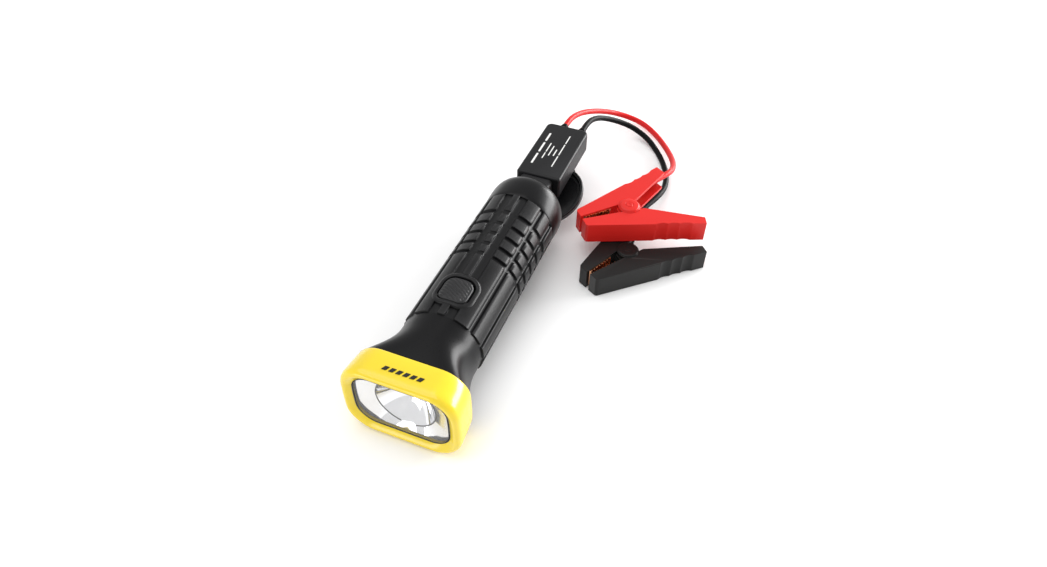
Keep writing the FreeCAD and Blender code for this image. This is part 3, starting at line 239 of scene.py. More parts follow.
def new_piece(name, points, faces, body, look, stands_for=(), sharp=None):
    """A mesh piece from points in the row frame, riding on a body and standing for CAD nodes."""
    mesh = bpy.data.meshes.new(name)
    mesh.from_pydata([tuple(p) for p in points], [], faces)
    work = bmesh.new()
    work.from_mesh(mesh)
    bmesh.ops.remove_doubles(work, verts=work.verts, dist=1e-7)
    bmesh.ops.recalc_face_normals(work, faces=work.faces)
    work.to_mesh(mesh)
    work.free()
    mesh.polygons.foreach_set("use_smooth", [True] * len(mesh.polygons))
    if sharp is not None:
        mesh.set_sharp_from_angle(angle=math.radians(sharp))
    thing = bpy.data.objects.new(name, mesh)
    bpy.context.scene.collection.objects.link(thing)
    mesh.materials.append(LOOKS[look] if isinstance(look, str) else look)
    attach(thing, body)
    if stands_for:
        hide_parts(*stands_for)
    return thing


def lofted(rings, loop=False, start_cap=False, end_cap=False):
    """Points and faces of a surface through closed rings of equal count."""
    count = len(rings[0])
    points = [p for ring in rings for p in ring]
    faces = []
    spans = len(rings) if loop else len(rings) - 1
    for k in range(spans):
        a, b = k * count, ((k + 1) % len(rings)) * count
        for i in range(count):
            j = (i + 1) % count
            faces.append((a + i, a + j, b + j, b + i))
    if start_cap:
        faces.append(tuple(range(count)))
    if end_cap:
        last = (len(rings) - 1) * count
        faces.append(tuple(range(last, last + count)))
    return points, faces


def joined(*surfaces):
    """Several (points, faces) surfaces as one."""
    points, faces = [], []
    for more_points, more_faces in surfaces:
        start = len(points)
        points += more_points
        faces += [tuple(i + start for i in face) for face in more_faces]
    return points, faces


def placed(surface, matrix):
    """A surface carried to a place."""
    points, faces = surface
    return [matrix @ Vector(p) for p in points], faces


def rounded_outline(width, height, corner, per_corner, per_side):
    """Points round a rectangle with round corners, counted the same way for any size."""
    half_w, half_h = width / 2 - corner, height / 2 - corner
    signs = ((1, 1), (-1, 1), (-1, -1), (1, -1))

    def on_corner(i, quarters):
        """A point on the arc of corner i, that many quarter turns round from the x axis."""
        sx, sy = signs[i % 4]
        angle = math.pi / 2 * quarters
        return sx * half_w + corner * math.cos(angle), sy * half_h + corner * math.sin(angle)

    points = []
    for i in range(4):
        points += [on_corner(i, i + k / per_corner) for k in range(per_corner + 1)]
        start, end = points[-1], on_corner(i + 1, i + 1)
        for k in range(1, per_side):
            t = k / per_side
            points.append((start[0] + (end[0] - start[0]) * t, start[1] + (end[1] - start[1]) * t))
    return points


def bowed(outline, bow):
    """The outline with its two ends bowed out by that much at mid-height."""
    half_w = max(x for x, _ in outline)
    half_h = max(z for _, z in outline)
    points = []
    for x, z in outline:
        share = min(1.0, abs(x) / (half_w * 0.6)) ** 2 * (1 - (z / half_h) ** 2)
        points.append((x + math.copysign(bow * share, x), z))
    return points


def squircle(half_w, half_h, power, count=ROUND_STEPS):
    """A smooth outline: power 2 is an ellipse, more is squarer."""
    points = []
    for i in range(count):
        angle = 2 * math.pi * i / count
        c, s = math.cos(angle), math.sin(angle)
        points.append((half_w * math.copysign(abs(c) ** (2 / power), c),
                       half_h * math.copysign(abs(s) ** (2 / power), s)))
    return points


def turned(profile, steps=ROUND_STEPS):
    """Rings for a profile of (y, radius) turned about the Y axis, in mm."""
    rings = []
    for y, radius in profile:
        rings.append([Vector((radius * math.cos(2 * math.pi * i / steps), y,
                              radius * math.sin(2 * math.pi * i / steps))) for i in range(steps)])
    return rings


def extruded(outline, low, high, edge):
    """A plate of that outline between two heights, its upper and lower edges eased."""
    mid_x = sum(x for x, _ in outline) / len(outline)
    mid_y = sum(y for _, y in outline) / len(outline)
    far = max(math.hypot(x - mid_x, y - mid_y) for x, y in outline)
    rings = []
    for z, inset in ((low, edge), (low + edge, 0), (high - edge, 0), (high, edge)):
        share = 1 - inset / far
        rings.append([Vector((mid_x + (x - mid_x) * share, mid_y + (y - mid_y) * share, z))
                      for x, y in outline])
    return lofted(rings, start_cap=True, end_cap=True)


def softened(node, width, segments):
    """The CAD piece with its edges rounded, standing for it."""
    source = frame["nodes"][node]
    mesh = bpy.data.meshes.new(f"{node}_soft")
    work = bmesh.new()
    work.from_mesh(source.data)
    bmesh.ops.remove_doubles(work, verts=work.verts, dist=2e-6)
    bmesh.ops.dissolve_limit(work, angle_limit=math.radians(1.5), verts=work.verts, edges=work.edges)
    work.to_mesh(mesh)
    work.free()
    thing = bpy.data.objects.new(f"{node}_soft", mesh)
    bpy.context.scene.collection.objects.link(thing)
    mesh.materials.append(LOOKS[SLOTS[node]])
    mesh.polygons.foreach_set("use_smooth", [True] * len(mesh.polygons))
    rounding = thing.modifiers.new("rounding", "BEVEL")
    rounding.width = width * MM
    rounding.segments = segments
    rounding.limit_method = "ANGLE"
    rounding.angle_limit = math.radians(SOFT_ANGLE)
    weighted = thing.modifiers.new("normals", "WEIGHTED_NORMAL")
    weighted.keep_sharp = True
    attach(thing, source["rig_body"])
    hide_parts(node)
    return thing


TO_ROW = Matrix.Scale(MM, 4) @ Matrix.Translation((0, FRONT, AXIS))

# ------------------------------------------------------------------ lamp head
_, bezel_far = torch_box("bezel")
WIDTH, HEIGHT, DEPTH = 2 * bezel_far.x, 2 * bezel_far.z, bezel_far.y
CORNER = 16.0
# How far the ring's two ends bow out at mid-height, and the points per corner and side.
BOW = 1.6
CORNER_STEPS, SIDE_STEPS = 14, 12


def ring_outline(narrower, lower, corner):
    """An outline of the lamp ring's shape, that much narrower and lower than the ring."""
    outline = rounded_outline(WIDTH - narrower, HEIGHT - lower, corner, CORNER_STEPS, SIDE_STEPS)
    return bowed(outline, BOW)


def bezel():
    """Yellow ring: bowed ends, a rounded front edge and an opening that slopes in to the window."""
    back = DEPTH
    # Distance behind the front face, and how far in from the ring's outer side.
    profile = [(back, 4.6), (back, 2.4), (back - 0.5, 1.8), (back - 1.4, 1.5), (15, 0.9), (8, 0.4),
               (4.5, 0.2), (2.6, 0.45), (1.3, 1.1), (0.45, 2.0), (0.05, 3.0), (0.1, 3.7), (0.5, 4.4),
               (1.4, 5.6), (2.4, 6.9), (3.0, 7.4), (3.4, 5.6), (8, 5.0)]
    rings = []
    for y, inset in profile:
        corner = CORNER + 1.5 - inset * 0.55
        rings.append([row(x, y, z) for x, z in ring_outline(2 * inset + BOW, 2 * inset, corner)])
    points, faces = lofted(rings, loop=True)
    new_piece("bezel_ring", points, faces, "torch", "bezel_yellow", ("bezel",), sharp=50)

    outer = ring_outline(14.0, 12.0, CORNER - 3)
    inner = ring_outline(18.6, 16.8, CORNER - 5)
    rings = [[row(x, y, z) for x, z in outline]
             for outline, y in ((outer, 3.0), (inner, 2.7), (inner, 3.2), (outer, 3.3))]
    points, faces = lofted(rings, loop=True)
    new_piece("window_seal", points, faces, "torch", "seal_rubber", ("lens_gasket",), sharp=50)


def reflector():
    """Chrome reflector: a flange, flat facets at both ends and a round bowl."""
    start = torch_box("reflector")[0].y
    bowl, depth, hole, brim, layers = 20.6, 14.0, 3.9, start + 4.2, 16
    edge = rounded_outline(WIDTH - 17.6, HEIGHT - 15.8, CORNER - 5, CORNER_STEPS, SIDE_STEPS)
    rings = [[row(x, start + 0.3, z) for x, z in bowed(edge, BOW)]]
    # The brim is the bowl's circle, cut short where the ring's sides come closer.
    rim = []
    for x, z in edge:
        away = math.hypot(x, z)
        reach = min(bowl, away - 0.9)
        rim.append((x / away * reach, z / away * reach, reach))
    rings.append([row(x, brim - 0.1 * (reach < bowl - 0.01), z) for x, z, reach in rim])
    for k in range(1, layers + 1):
        ring = []
        for x, z, reach in rim:
            share = 1 - k / layers
            radius = hole + (reach - hole) * share
            sunk = brim + depth * (1 - (radius / bowl) ** 2)
            ring.append(row(x / reach * radius, sunk, z / reach * radius))
        rings.append(ring)
    rings.append([p + Vector((0, 1.5 * MM, 0)) for p in rings[-1]])
    points, faces = lofted(rings)
    new_piece("reflector_bowl", points, faces, "torch", "reflector_chrome", ("reflector",), sharp=24)

    # A dark bead round the bowl's brim, left out where the brim is cut short.
    bead = [(brim - 0.3, bowl + 0.5), (brim - 0.6, bowl), (brim - 0.3, bowl - 0.5), (brim + 0.4, bowl)]
    ring_points, ring_faces = lofted(turned(bead, 120), loop=True)
    kept = [f for f in ring_faces if all(abs(ring_points[i].z) < HEIGHT / 2 - 9.4 for i in f)]
    used = sorted({i for f in kept for i in f})
    order = {old: new for new, old in enumerate(used)}
    points = [TO_ROW @ ring_points[i] for i in used]
    new_piece("bowl_edge", points, [tuple(order[i] for i in f) for f in kept], "torch", "socket_plastic")


def neck():
    """Glossy flare from the lamp ring's square back to the round barrel."""
    start, end = DEPTH, torch_box("grip_sleeve")[0].y
    small = torch_box("grip_sleeve")[1].x - 1.2
    steps, flare_end = 26, end - 8
    rings = []
    for i in range(steps + 1):
        share = i / steps
        blend = (1 - share) ** 2.1
        power = 2 + 2.2 * blend
        half_w = small + (WIDTH / 2 - 2.6 - small) * blend
        half_h = small + (HEIGHT / 2 - 2.0 - small) * blend
        y = start + (flare_end - start) * share
        rings.append([row(x, y, z) for x, z in squircle(half_w, half_h, power)])
    lip = rings[0]
    centre = row(0, start, 0)
    rings.insert(0, [centre + (p - centre) * 0.97 for p in lip])
    rings.insert(0, [centre + (p - centre) * 0.94 + Vector((0, -4 * MM, 0)) for p in lip])
    for y, radius in ((end + 0.4, small), (end + 0.4, small - 1.3)):
        rings.append([row(x, y, z) for x, z in squircle(radius, radius, 2)])
    points, faces = lofted(rings)
    new_piece("neck_flare", points, faces, "torch", "housing_black", ("neck_housing",), sharp=40)


def bezel_mark():
    """Plain black stripes on top of the lamp ring."""
    first, pitch, width, lean = -12.6, 4.6, 2.9, 1.4
    front, back = 8.6, 11.6
    low = HEIGHT / 2 - 0.45
    plates = []
    for i in range(6):
        x = first + pitch * i
        corners = [(x, front), (x + width, front), (x + width + lean, back), (x + lean, back)]
        plates.append(placed(extruded(corners, low, low + 0.34, 0.05), TO_ROW))
    points, faces = joined(*plates)
    new_piece("ring_stripes", points, faces, "torch", MARK_BLACK, sharp=30)


bezel()
reflector()
neck()
bezel_mark()

# ------------------------------------------------------------------ grip
grip_low, grip_high = torch_box("grip_sleeve")
button_low, button_high = torch_box("power_button")
BUTTON_MIDDLE = (button_low.y + button_high.y) / 2
BUTTON_WIDE = button_high.x - button_low.x
BUTTON_LONG = button_high.y - button_low.y
# The surround's middle stands this far behind the button's.
SURROUND_SHIFT = 0.6
GRIP_START, GRIP_END = grip_low.y, grip_high.y
PAD_RADIUS = grip_high.x
FLOOR_RADIUS = PAD_RADIUS - 1.7
# Rings of grooves: middle along the torch and width. Channels: angle from the top and width.
GROOVES = [(122.2, 3.4), (132.7, 3.4), (144.0, 3.4), (155.4, 3.4), (168.0, 4.4)]
CHANNELS = [(45 + 27 * i, 6.4) for i in range(11)] + [(11.8, 13.0), (348.2, 13.0)]
# How long the shoulders of the pads are: along the torch in mm, and round it in degrees.
SLOPE, EASE = 0.6, 1.5
END_SLOPE = 0.5


def tread_stations():
    """Places along the torch: close together at each groove's shoulders, under 10 mm apart."""
    stations = {GRIP_START, GRIP_START + END_SLOPE, GRIP_END - END_SLOPE, GRIP_END}
    for middle, width in GROOVES:
        for side in (-1, 1):
            edge = middle + side * width / 2
            stations |= {edge + SLOPE * k / 2 for k in (-1, -0.5, 0, 0.5, 1)}
    stations = sorted(stations)
    filled = [stations[0]]
    for y in stations[1:]:
        gap = y - filled[-1]
        parts = max(1, int(gap / 5))
        filled += [filled[-1] + gap * (k + 1) / parts for k in range(parts)]
    return filled


def tread_angles():
    """Angles round the torch: close together at each channel's shoulders, under 8 degrees apart."""
    angles = set()
    for middle, width in CHANNELS:
        for side in (-1, 1):
            edge = middle + side * width / 2
            angles |= {(edge + EASE * k / 2) % 360 for k in (-1, -0.5, 0, 0.5, 1)}
        angles.add(middle % 360)
    angles = sorted(angles)
    around = []
    for a, b in zip(angles, angles[1:] + [angles[0] + 360]):
        parts = max(1, int((b - a) / 4))
        around += [(a + (b - a) * k / parts) % 360 for k in range(parts)]
    return around


def tread_rise(angle, y):
    """0 on the floor of a channel or groove, 1 on a pad."""
    up = 1.0
    for middle, width in CHANNELS:
        away = abs((angle - middle + 180) % 360 - 180) - width / 2
        up = min(up, max(0.0, min(1.0, away / EASE + 0.5)))
    centre_rib = abs((angle + 180) % 360 - 180) < 5.5
    for middle, width in GROOVES:
        away = abs(y - middle) - width / 2
        groove = max(0.0, min(1.0, away / SLOPE + 0.5))
        up = min(up, max(groove, 0.55) if centre_rib else groove)
    return min(up, 1.0, max(0.0, (y - GRIP_START) / END_SLOPE), max(0.0, (GRIP_END - y) / END_SLOPE))


def grip():
    """Rubber tread: raised pads with rounded shoulders between channels and ring grooves."""
    around = tread_angles()

    def ring(y, radii):
        turns = [math.radians(angle) for angle in around]
        return [row(radius * math.sin(turn), y, radius * math.cos(turn))
                for turn, radius in zip(turns, radii)]

    # The sleeve's edge turns in towards the barrel at both ends.
    inner = [PAD_RADIUS - 2.6] * len(around)
    rings = [ring(GRIP_START, inner)]
    for y in tread_stations():
        rises = [tread_rise(angle, y) for angle in around]
        rings.append(ring(y, [FLOOR_RADIUS + (PAD_RADIUS - FLOOR_RADIUS) * (up * up * (3 - 2 * up))
                              for up in rises]))
    rings.append(ring(GRIP_END, inner))
    points, faces = lofted(rings)

    def under_button(face):
        """Whether the face lies inside the button's surround, where the sleeve is cut out."""
        middle = sum((points[i] for i in face), Vector()) / len(face) / MM
        along = middle.y - FRONT - BUTTON_MIDDLE - SURROUND_SHIFT
        return middle.z > AXIS and (middle.x / 12.0) ** 4 + (along / 11.8) ** 4 < 1

    faces = [face for face in faces if not under_button(face)]
    new_piece("grip_tread", points, faces, "torch", "grip_rubber", ("grip_sleeve",), sharp=60)


grip()


# ------------------------------------------------------------------ button
def on_barrel(x, y, radius):
    """A point at x, y on a cylinder of that radius round the torch's axis."""
    return row(x, y, math.sqrt(radius * radius - x * x))


def button():
    """Raised surround, and a button with curved diagonal ridges."""
    crown = PAD_RADIUS
    # Half width, half length, corner and distance from the torch's axis, from the outside in.
    shape = [(15.2, 14.6, 9.5, crown - 1.6), (14.9, 14.3, 9.3, crown - 0.4),
             (14.2, 13.6, 9.0, crown + 0.35), (13.0, 12.6, 8.4, crown + 0.55),
             (12.0, 11.6, 7.4, crown + 0.35), (11.2, 11.0, 6.8, crown - 0.5),
             (10.9, 10.9, 6.6, crown - 2.2)]
    rings = []
    for half_w, half_l, corner, radius in shape:
        outline = rounded_outline(half_w * 2, half_l * 2, corner, 12, 6)
        rings.append([on_barrel(x, y + BUTTON_MIDDLE + SURROUND_SHIFT, radius) for x, y in outline])
    points, faces = lofted(rings)
    new_piece("button_bezel", points, faces, "torch", "grip_rubber", ("button_surround",), sharp=60)

    def ridge(x, y):
        """Height of the curved diagonal ridges at a point of the button."""
        along_line = y + 0.42 * x + 0.018 * (x + 4) ** 2
        wave = 0.5 + 0.5 * math.cos(2 * math.pi * along_line / 2.55)
        edge = max(abs(x) / (BUTTON_WIDE / 2), abs(y) / (BUTTON_LONG / 2))
        fade = max(0.0, min(1.0, (0.88 - edge) / 0.12))
        return 0.55 * wave ** 1.5 * fade

    rings = []
    layers = 40
    top = crown + 0.33
    sides = [(1.0, -4.4), (1.0, -0.9), (0.985, -0.45), (0.95, -0.12)]
    for share, drop in sides + [(0.95 * (1 - k / layers) + 0.002, 0.0) for k in range(1, layers + 1)]:
        half_w, half_l = BUTTON_WIDE / 2 * share, BUTTON_LONG / 2 * share
        outline = rounded_outline(half_w * 2, half_l * 2, min(half_w, half_l) * 0.62, 14, 14)
        ring = []
        for x, y in outline:
            lift = drop + (ridge(x, y) if drop == 0 else 0)
            ring.append(on_barrel(x, y + BUTTON_MIDDLE, top + lift))
        rings.append(ring)
    points, faces = lofted(rings, end_cap=True)
    new_piece("button_cap", points, faces, "button", "button_black", ("power_button",), sharp=60)


button()


# ------------------------------------------------------------------ tail collar and cap
HINGE = joint_place("cap_hinge") / MM
HINGE_TURN = 165.0
CAP_OPEN = 75.0
TAIL_END = 215.4


def hinge_frame(opening):
    """The cap hinge's own frame: x along the pin, z towards the torch's axis when shut."""
    about_torch = Matrix.Rotation(math.radians(HINGE_TURN - 180), 4, "Y")
    swing = Matrix.Rotation(math.radians(-opening), 4, "X")
    return Matrix.Scale(MM, 4) @ Matrix.Translation(HINGE) @ about_torch @ swing


def lying_rod(radius, first, last, steps=24):
    """A rod along x with eased ends, about the x axis."""
    turns = [2 * math.pi * i / steps for i in range(steps)]
    rings = []
    for x, inset in ((first, 0.3), (first + 0.3, 0), (last - 0.3, 0), (last, 0.3)):
        size = radius - inset
        rings.append([Vector((x, size * math.cos(turn), size * math.sin(turn))) for turn in turns])
    return lofted(rings, start_cap=True, end_cap=True)


def tail():
    """Smooth collar that swells out of the tread and rounds over round the socket's recess."""
    collar_low, collar_high = torch_box("tail_collar")
    start, radius = collar_low.y, collar_high.x
    panel_back = torch_box("tail_panel")[1].y
    profile = [(start, 26.6), (start, radius - 1.5), (start + 0.3, radius - 1.05),
               (start + 1.2, radius - 0.75), (start + 4, radius - 0.4), (start + 9, radius - 0.1),
               (start + 14, radius),
               (TAIL_END - 8, radius - 0.2), (TAIL_END - 5, radius - 0.8), (TAIL_END - 2.8, radius - 1.6),
               (TAIL_END - 1.2, radius - 2.6), (TAIL_END - 0.3, radius - 3.7), (TAIL_END, radius - 4.4),
               (TAIL_END - 0.3, radius - 4.9), (TAIL_END - 1, radius - 5.1), (panel_back, radius - 5.2)]
    ring = placed(lofted(turned(profile)), TO_ROW)
    lug_half, knuckle = 2.6, 1.8
    lug_sides = [(-lug_half, -9.0), (lug_half, -9.0), (lug_half, 0.0), (-lug_half, 0.0)]
    lug = joined(extruded(lug_sides, -knuckle, knuckle, 0.25), lying_rod(knuckle, -lug_half, lug_half))
    lug = placed(lug, hinge_frame(0))
    points, faces = joined(ring, lug)
    new_piece("collar_ring", points, faces, "torch", "housing_black", ("tail_collar",), sharp=50)


def cap():
    """Tail cap standing open: a dish with a rolled rim, hinge arms, two tabs and a seal."""
    reach, front = 26.4, -7.6
    radius, depth, wall = 30.4, 6.0, 2.4
    # The floor with its raised ring, the wall, the rolled rim, the outer side and the back.
    dish = [(depth - 1.8, 0.02), (depth - 1.8, 8.0), (depth - 2.4, 8.4), (depth - 2.4, 9.4),
            (depth - 1.8, 9.8), (depth - 1.8, radius - wall - 0.6), (depth - 2.4, radius - wall),
            (0.9, radius - wall), (0.25, radius - wall + 0.3), (0.0, radius - wall + 0.9),
            (0.0, radius - 0.8), (0.3, radius - 0.25), (0.9, radius), (1.5, radius + 0.1),
            (1.9, radius - 0.1), (2.2, radius - 0.35), (depth - 2.0, radius - 0.4),
            (depth - 1.0, radius - 0.8), (depth - 0.3, radius - 1.6), (depth, radius - 2.8),
            (depth, 20.0), (depth - 0.3, 19.6), (depth - 0.3, 0.02)]
    opened = hinge_frame(CAP_OPEN)
    about_cap = opened @ Matrix.Translation((0, front, reach))
    body = placed(lofted(turned(dish)), about_cap)
    pieces = [body]
    for side in (-1, 1):
        first = 2.9 if side > 0 else -5.9
        arm = [(first, 0.0), (first + 3.0, 0.0), (first + 3.0, -4.4), (first, -4.4)]
        pieces.append(placed(extruded(arm, -1.2, 2.4, 0.25), opened))
        pieces.append(placed(lying_rod(1.8, first, first + 3.0), opened))
    for angle in (62, 118):
        tab = [(-3.2, 0.4), (3.2, 0.4), (2.6, 3.4), (-2.6, 3.4)]
        about = Matrix.Rotation(math.radians(90 - angle), 4, "Y")
        pieces.append(placed(extruded(tab, radius - 0.6, radius + 0.8, 0.3), about_cap @ about))
    points, faces = joined(*pieces)
    new_piece("cap_dish", points, faces, "cap", "cap_grey", ("tail_cap",), sharp=50)

    seal = [(depth - 3.4, radius - 4.6), (depth - 3.6, radius - 4.0), (depth - 3.4, radius - 3.4),
            (depth - 2.6, radius - 3.0), (depth - 1.8, radius - 3.0), (depth - 1.8, radius - 5.0),
            (depth - 2.6, radius - 5.0)]
    points, faces = placed(lofted(turned(seal), loop=True), about_cap)
    new_piece("cap_seal", points, faces, "cap", "seal_rubber", ("cap_gasket",), sharp=50)


tail()
cap()


# ------------------------------------------------------------------ smart module
module_low, module_high = torch_box("module_top_shell")
MODULE_MIDDLE = (module_low.x + module_high.x) / 2


def module_print():
    """Plain printed bars along the module's top, where a label would be."""
    top = module_high.z
    # Each line: place across the module, width, and where its bars start and end.
    lines = [(-10.4, 1.6, ((13, 27), (29.5, 43), (45.5, 57))), (-5.0, 0.9, ((22, 30), (31.5, 44))),
             (-1.4, 0.9, ((27, 41),)), (2.4, 0.9, ((28, 37),)),
             (6.2, 0.9, ((14, 29), (30.5, 46), (47.5, 59)))]
    plates = []
    for x, width, spans in lines:
        for first, last in spans:
            outline = rounded_outline(width, last - first, width * 0.3, 3, 1)
            shifted = [(MODULE_MIDDLE + x + a, module_low.y + (first + last) / 2 + b) for a, b in outline]
            plates.append(placed(extruded(shifted, top - 0.1, top + 0.05, 0.02), TO_ROW))
    points, faces = joined(*plates)
    new_piece("module_print", points, faces, "lead", MARK_WHITE, sharp=30)


def relief(color):
    """Ribbed rubber boot where a cable leaves the module."""
    low, high = torch_box(f"{color}_strain_relief")
    x, z = (low.x + high.x) / 2, (low.z + high.z) / 2
    length = high.y - low.y
    profile = [(0.0, 4.3), (0.8, 4.3), (1.1, 4.0)]
    for i in range(3):
        y = 1.6 + 2.3 * i
        size = 4.05 - 0.25 * i
        profile += [(y, size), (y + 1.0, size - 0.05), (y + 1.25, size - 0.55), (y + 1.85, size - 0.6)]
    profile += [(length - 0.6, 2.95), (length - 0.1, 2.8), (length, 2.52)]
    surface = lofted(turned([(0.0, 0.1)] + profile + [(length, 0.1)], 40))
    points, faces = placed(surface, TO_ROW @ Matrix.Translation((x, low.y, z)))
    stands_for = (f"{color}_strain_relief",)
    return new_piece(f"{color}_boot", points, faces, "lead", "cable_black", stands_for, sharp=50)


softened("module_top_shell", 0.8, 3)
softened("module_bottom_shell", 0.8, 3)
softened("plug_body", 0.5, 2)
module_print()

# ------------------------------------------------------------------ clamps
CLAMP_TURNS = {"red": 42.3, "black": 60.3}
CLAMP_HEIGHT = 16.8
JAW_REACH = 40.5


def clamp_frame(color):
    """The clamp frame: u along the clamp's axis, v across it, z from its mid-height, in mm."""
    pivot = joint_place(f"{color}_clamp_pivot")
    turn = Matrix.Rotation(math.radians(CLAMP_TURNS[color]), 4, "Z")
    return Matrix.Translation(pivot) @ turn @ Matrix.Scale(MM, 4)


def jaw(color, half, side):
    """A copper jaw strip with pointed teeth along the mouth."""
    mouth, rise, pitch, teeth = 1.6, 0.085, 2.9, 8
    tip = -JAW_REACH + 3.0

    def edge(u):
        return mouth + rise * (u + JAW_REACH)

    outline = [(tip, edge(tip) + 1.4)]
    for i in range(teeth):
        u = tip + pitch * i
        outline += [(u + 0.1, edge(u) + 0.1), (u + pitch / 2, edge(u) - 1.5),
                    (u + pitch - 0.1, edge(u) + 0.1)]
    last = tip + pitch * teeth
    outline += [(last, edge(last) - 0.2), (last + 1.0, edge(last) + 1.6)]
    outline = [(u, v * side) for u, v in outline]
    half_height = CLAMP_HEIGHT / 2 - 0.9
    strip = []
    top = half_height - 0.5
    for z, lift in ((-half_height, 0.25), (-half_height + 0.4, 0), (top - 0.4, 0), (top, 0.25)):
        strip.append([Vector((u, v + lift * side, z)) for u, v in outline])
    surface = lofted(strip, start_cap=True, end_cap=True)
    points, faces = placed(surface, clamp_frame(color))
    body = "lead" if half == "cable" else f"{color}_lever"
    node = f"{color}_clamp_{half}_jaw"
    return new_piece(f"{color}_{half}_teeth", points, faces, body, "jaw_copper", (node,), sharp=25)


def rivet(color):
    """Domed plastic boss over the rivet, with the rivet's dimpled head in its middle."""
    top = CLAMP_HEIGHT / 2 + 0.8
    # The red clamp's lever swings close over the black clamp's boss.
    lift = 1.0 if color == "red" else 0.2
    dome = [(-0.5, 7.7), (0.2, 7.5), (0.55, 7.0), (0.75, 6.2), (0.8, 3.3), (0.55, 3.1), (0.55, 2.9)]
    head = [(0.5, 2.9), (0.95, 2.5), (1.05, 1.8), (0.9, 1.0), (0.75, 0.9), (0.7, 0.05)]
    dome, head = ([(y * lift, radius) for y, radius in profile] for profile in (dome, head))
    upright = Matrix.Translation((0, 0, top)) @ Matrix.Rotation(math.radians(90), 4, "X")
    made = []
    for name, profile in (("boss", dome), ("rivet_head", head)):
        surface = lofted(turned(profile, 64))
        points, faces = placed(surface, clamp_frame(color) @ upright)
        stands_for = (f"{color}_clamp_rivet",) if name == "rivet_head" else ()
        made.append(new_piece(f"{color}_{name}", points, faces, "lead", f"clamp_{color}", stands_for,
                              sharp=40))
    return made


def clamp(color):
    """One clamp's visible pieces that the cable carries."""
    pieces = [softened(f"{color}_clamp_{half}_half", 0.9, 3) for half in ("cable", "lever")]
    pieces += [jaw(color, "cable", 1), jaw(color, "lever", -1)]
    pieces += rivet(color)
    return pieces + [frame["nodes"][f"{color}_clamp_spring"], frame["nodes"][f"{color}_cable_lug"]]


clamps = {color: clamp(color) for color in ("red", "black")}

# ------------------------------------------------------------------ cables
# Points of each cable's route, in metres, from the module's strain relief into its clamp.
RED_ROUTE = [
    (-0.0054, 0.1735, 0.0404), (-0.0054, 0.1834, 0.0404), (-0.0049, 0.1994, 0.0360),
    (-0.0015, 0.2179, 0.0295), (0.0085, 0.2399, 0.0200), (0.0230, 0.2574, 0.0095),
    (0.0430, 0.2614, 0.0030), (0.0610, 0.2469, 0.0026), (0.0765, 0.2239, 0.0060),
    (0.0880, 0.1979, 0.0130), (0.0920, 0.1759, 0.0205), (0.0899, 0.1595, 0.0263),
    (0.0762, 0.1351, 0.0263),
]
BLACK_ROUTE = [
    (0.0106, 0.1735, 0.0404), (0.0106, 0.1834, 0.0404), (0.0110, 0.1994, 0.0360),
    (0.0150, 0.2154, 0.0290), (0.0260, 0.2294, 0.0200), (0.0395, 0.2379, 0.0115),
    (0.0550, 0.2359, 0.0046), (0.0675, 0.2229, 0.0026), (0.0780, 0.2069, 0.0025),
    (0.0860, 0.1879, 0.0030), (0.0890, 0.1684, 0.0046), (0.0860, 0.1489, 0.0072),
    (0.0797, 0.1316, 0.0084), (0.0741, 0.1042, 0.0084),
]
CABLE = 0.005


def cable(color, route):
    """A round silicone cable along its route, with its boot and its clamp."""
    curve = bpy.data.curves.new(f"{color}_flex", "CURVE")
    curve.dimensions = "3D"
    line = curve.splines.new("NURBS")
    line.points.add(len(route) - 1)
    for spot, place in zip(line.points, route):
        spot.co = (*place, 1.0)
    line.order_u = 3
    line.use_endpoint_u = True
    line.resolution_u = 12
    curve.bevel_depth = CABLE / 2
    curve.bevel_resolution = 6
    curve.use_fill_caps = True
    look = f"cable_{color}"
    curve.materials.append(LOOKS[look])
    thing = bpy.data.objects.new(f"{color}_flex", curve)
    bpy.context.scene.collection.objects.link(thing)
    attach(thing, "lead")
    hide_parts(f"{color}_cable")
    [relief(color)] + clamps[color]


cable("red", RED_ROUTE)
cable("black", BLACK_ROUTE)


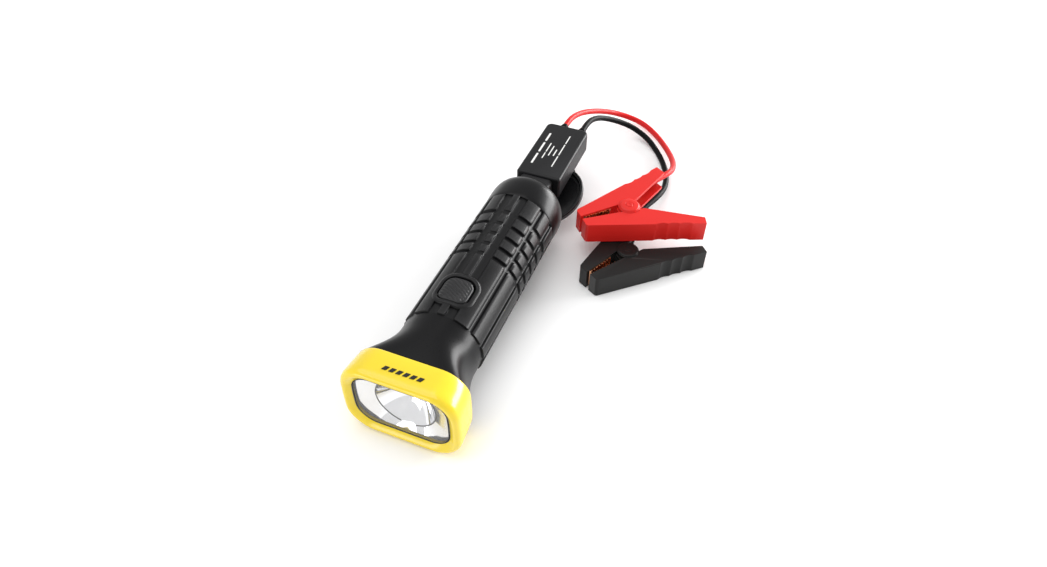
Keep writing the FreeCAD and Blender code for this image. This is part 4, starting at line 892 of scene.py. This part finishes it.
# ------------------------------------------------------------------ light, floor and camera
def lamp(name, place, target, size, power):
    """A soft light from a rectangle of that size, facing the target, all in metres and watts."""
    light = bpy.data.lights.new(name, "AREA")
    light.shape = "RECTANGLE"
    light.size, light.size_y = size
    light.energy = power
    thing = bpy.data.objects.new(name, light)
    bpy.context.scene.collection.objects.link(thing)
    thing.location = place
    thing.rotation_mode = "QUATERNION"
    thing.rotation_quaternion = (Vector(target) - Vector(place)).to_track_quat("-Z", "Y")


def surroundings():
    """White floor just under the part, an even white sky and three soft lights."""
    reach, sunk = 6.0, -0.0005
    floor_mesh = bpy.data.meshes.new("floor")
    floor_mesh.from_pydata([(-reach, -reach, sunk), (reach, -reach, sunk), (reach, reach, sunk),
                            (-reach, reach, sunk)], [], [(0, 1, 2, 3)])
    floor = bpy.data.objects.new("floor", floor_mesh)
    bpy.context.scene.collection.objects.link(floor)
    floor_mesh.materials.append(finish("floor_white", (0.97, 0.97, 0.97), 0.9, spread=0.01, specular=0.1))
    world = bpy.data.worlds.new("studio")
    bpy.context.scene.world = world
    world.use_nodes = True
    back = world.node_tree.nodes["Background"]
    back.inputs["Color"].default_value = (1, 1, 1, 1)
    back.inputs["Strength"].default_value = 0.74
    lamp("key", (-0.45, -0.15, 1.6), (0, 0, 0), (1.8, 1.8), 15)
    lamp("rim", (0.85, 0.95, 0.24), (0.02, 0, 0.04), (1.3, 0.46), 25)
    lamp("front", (-0.35, -0.80, 0.10), (0, -0.12, 0.02), (0.5, 0.2), 1.2)


def camera():
    """Looks down at the torch from in front of its lamp, rolled by under a degree."""
    eye = Vector((164.6, -217.8 + FRONT, 411.6)) * MM
    target = Vector((28.2, 132.2 + FRONT, 29.4)) * MM
    view = bpy.data.cameras.new("camera")
    view.sensor_width = 36.0
    view.lens = 26.07
    view.clip_start, view.clip_end = 0.01, 50
    thing = bpy.data.objects.new("camera", view)
    bpy.context.scene.collection.objects.link(thing)
    thing.location = eye
    thing.rotation_mode = "QUATERNION"
    aim = (target - eye).to_track_quat("-Z", "Y")
    thing.rotation_quaternion = aim @ Quaternion((0, 0, 1), math.radians(0.8))
    bpy.context.scene.camera = thing


surroundings()
camera()
bpy.context.scene.view_settings.view_transform = "Standard"
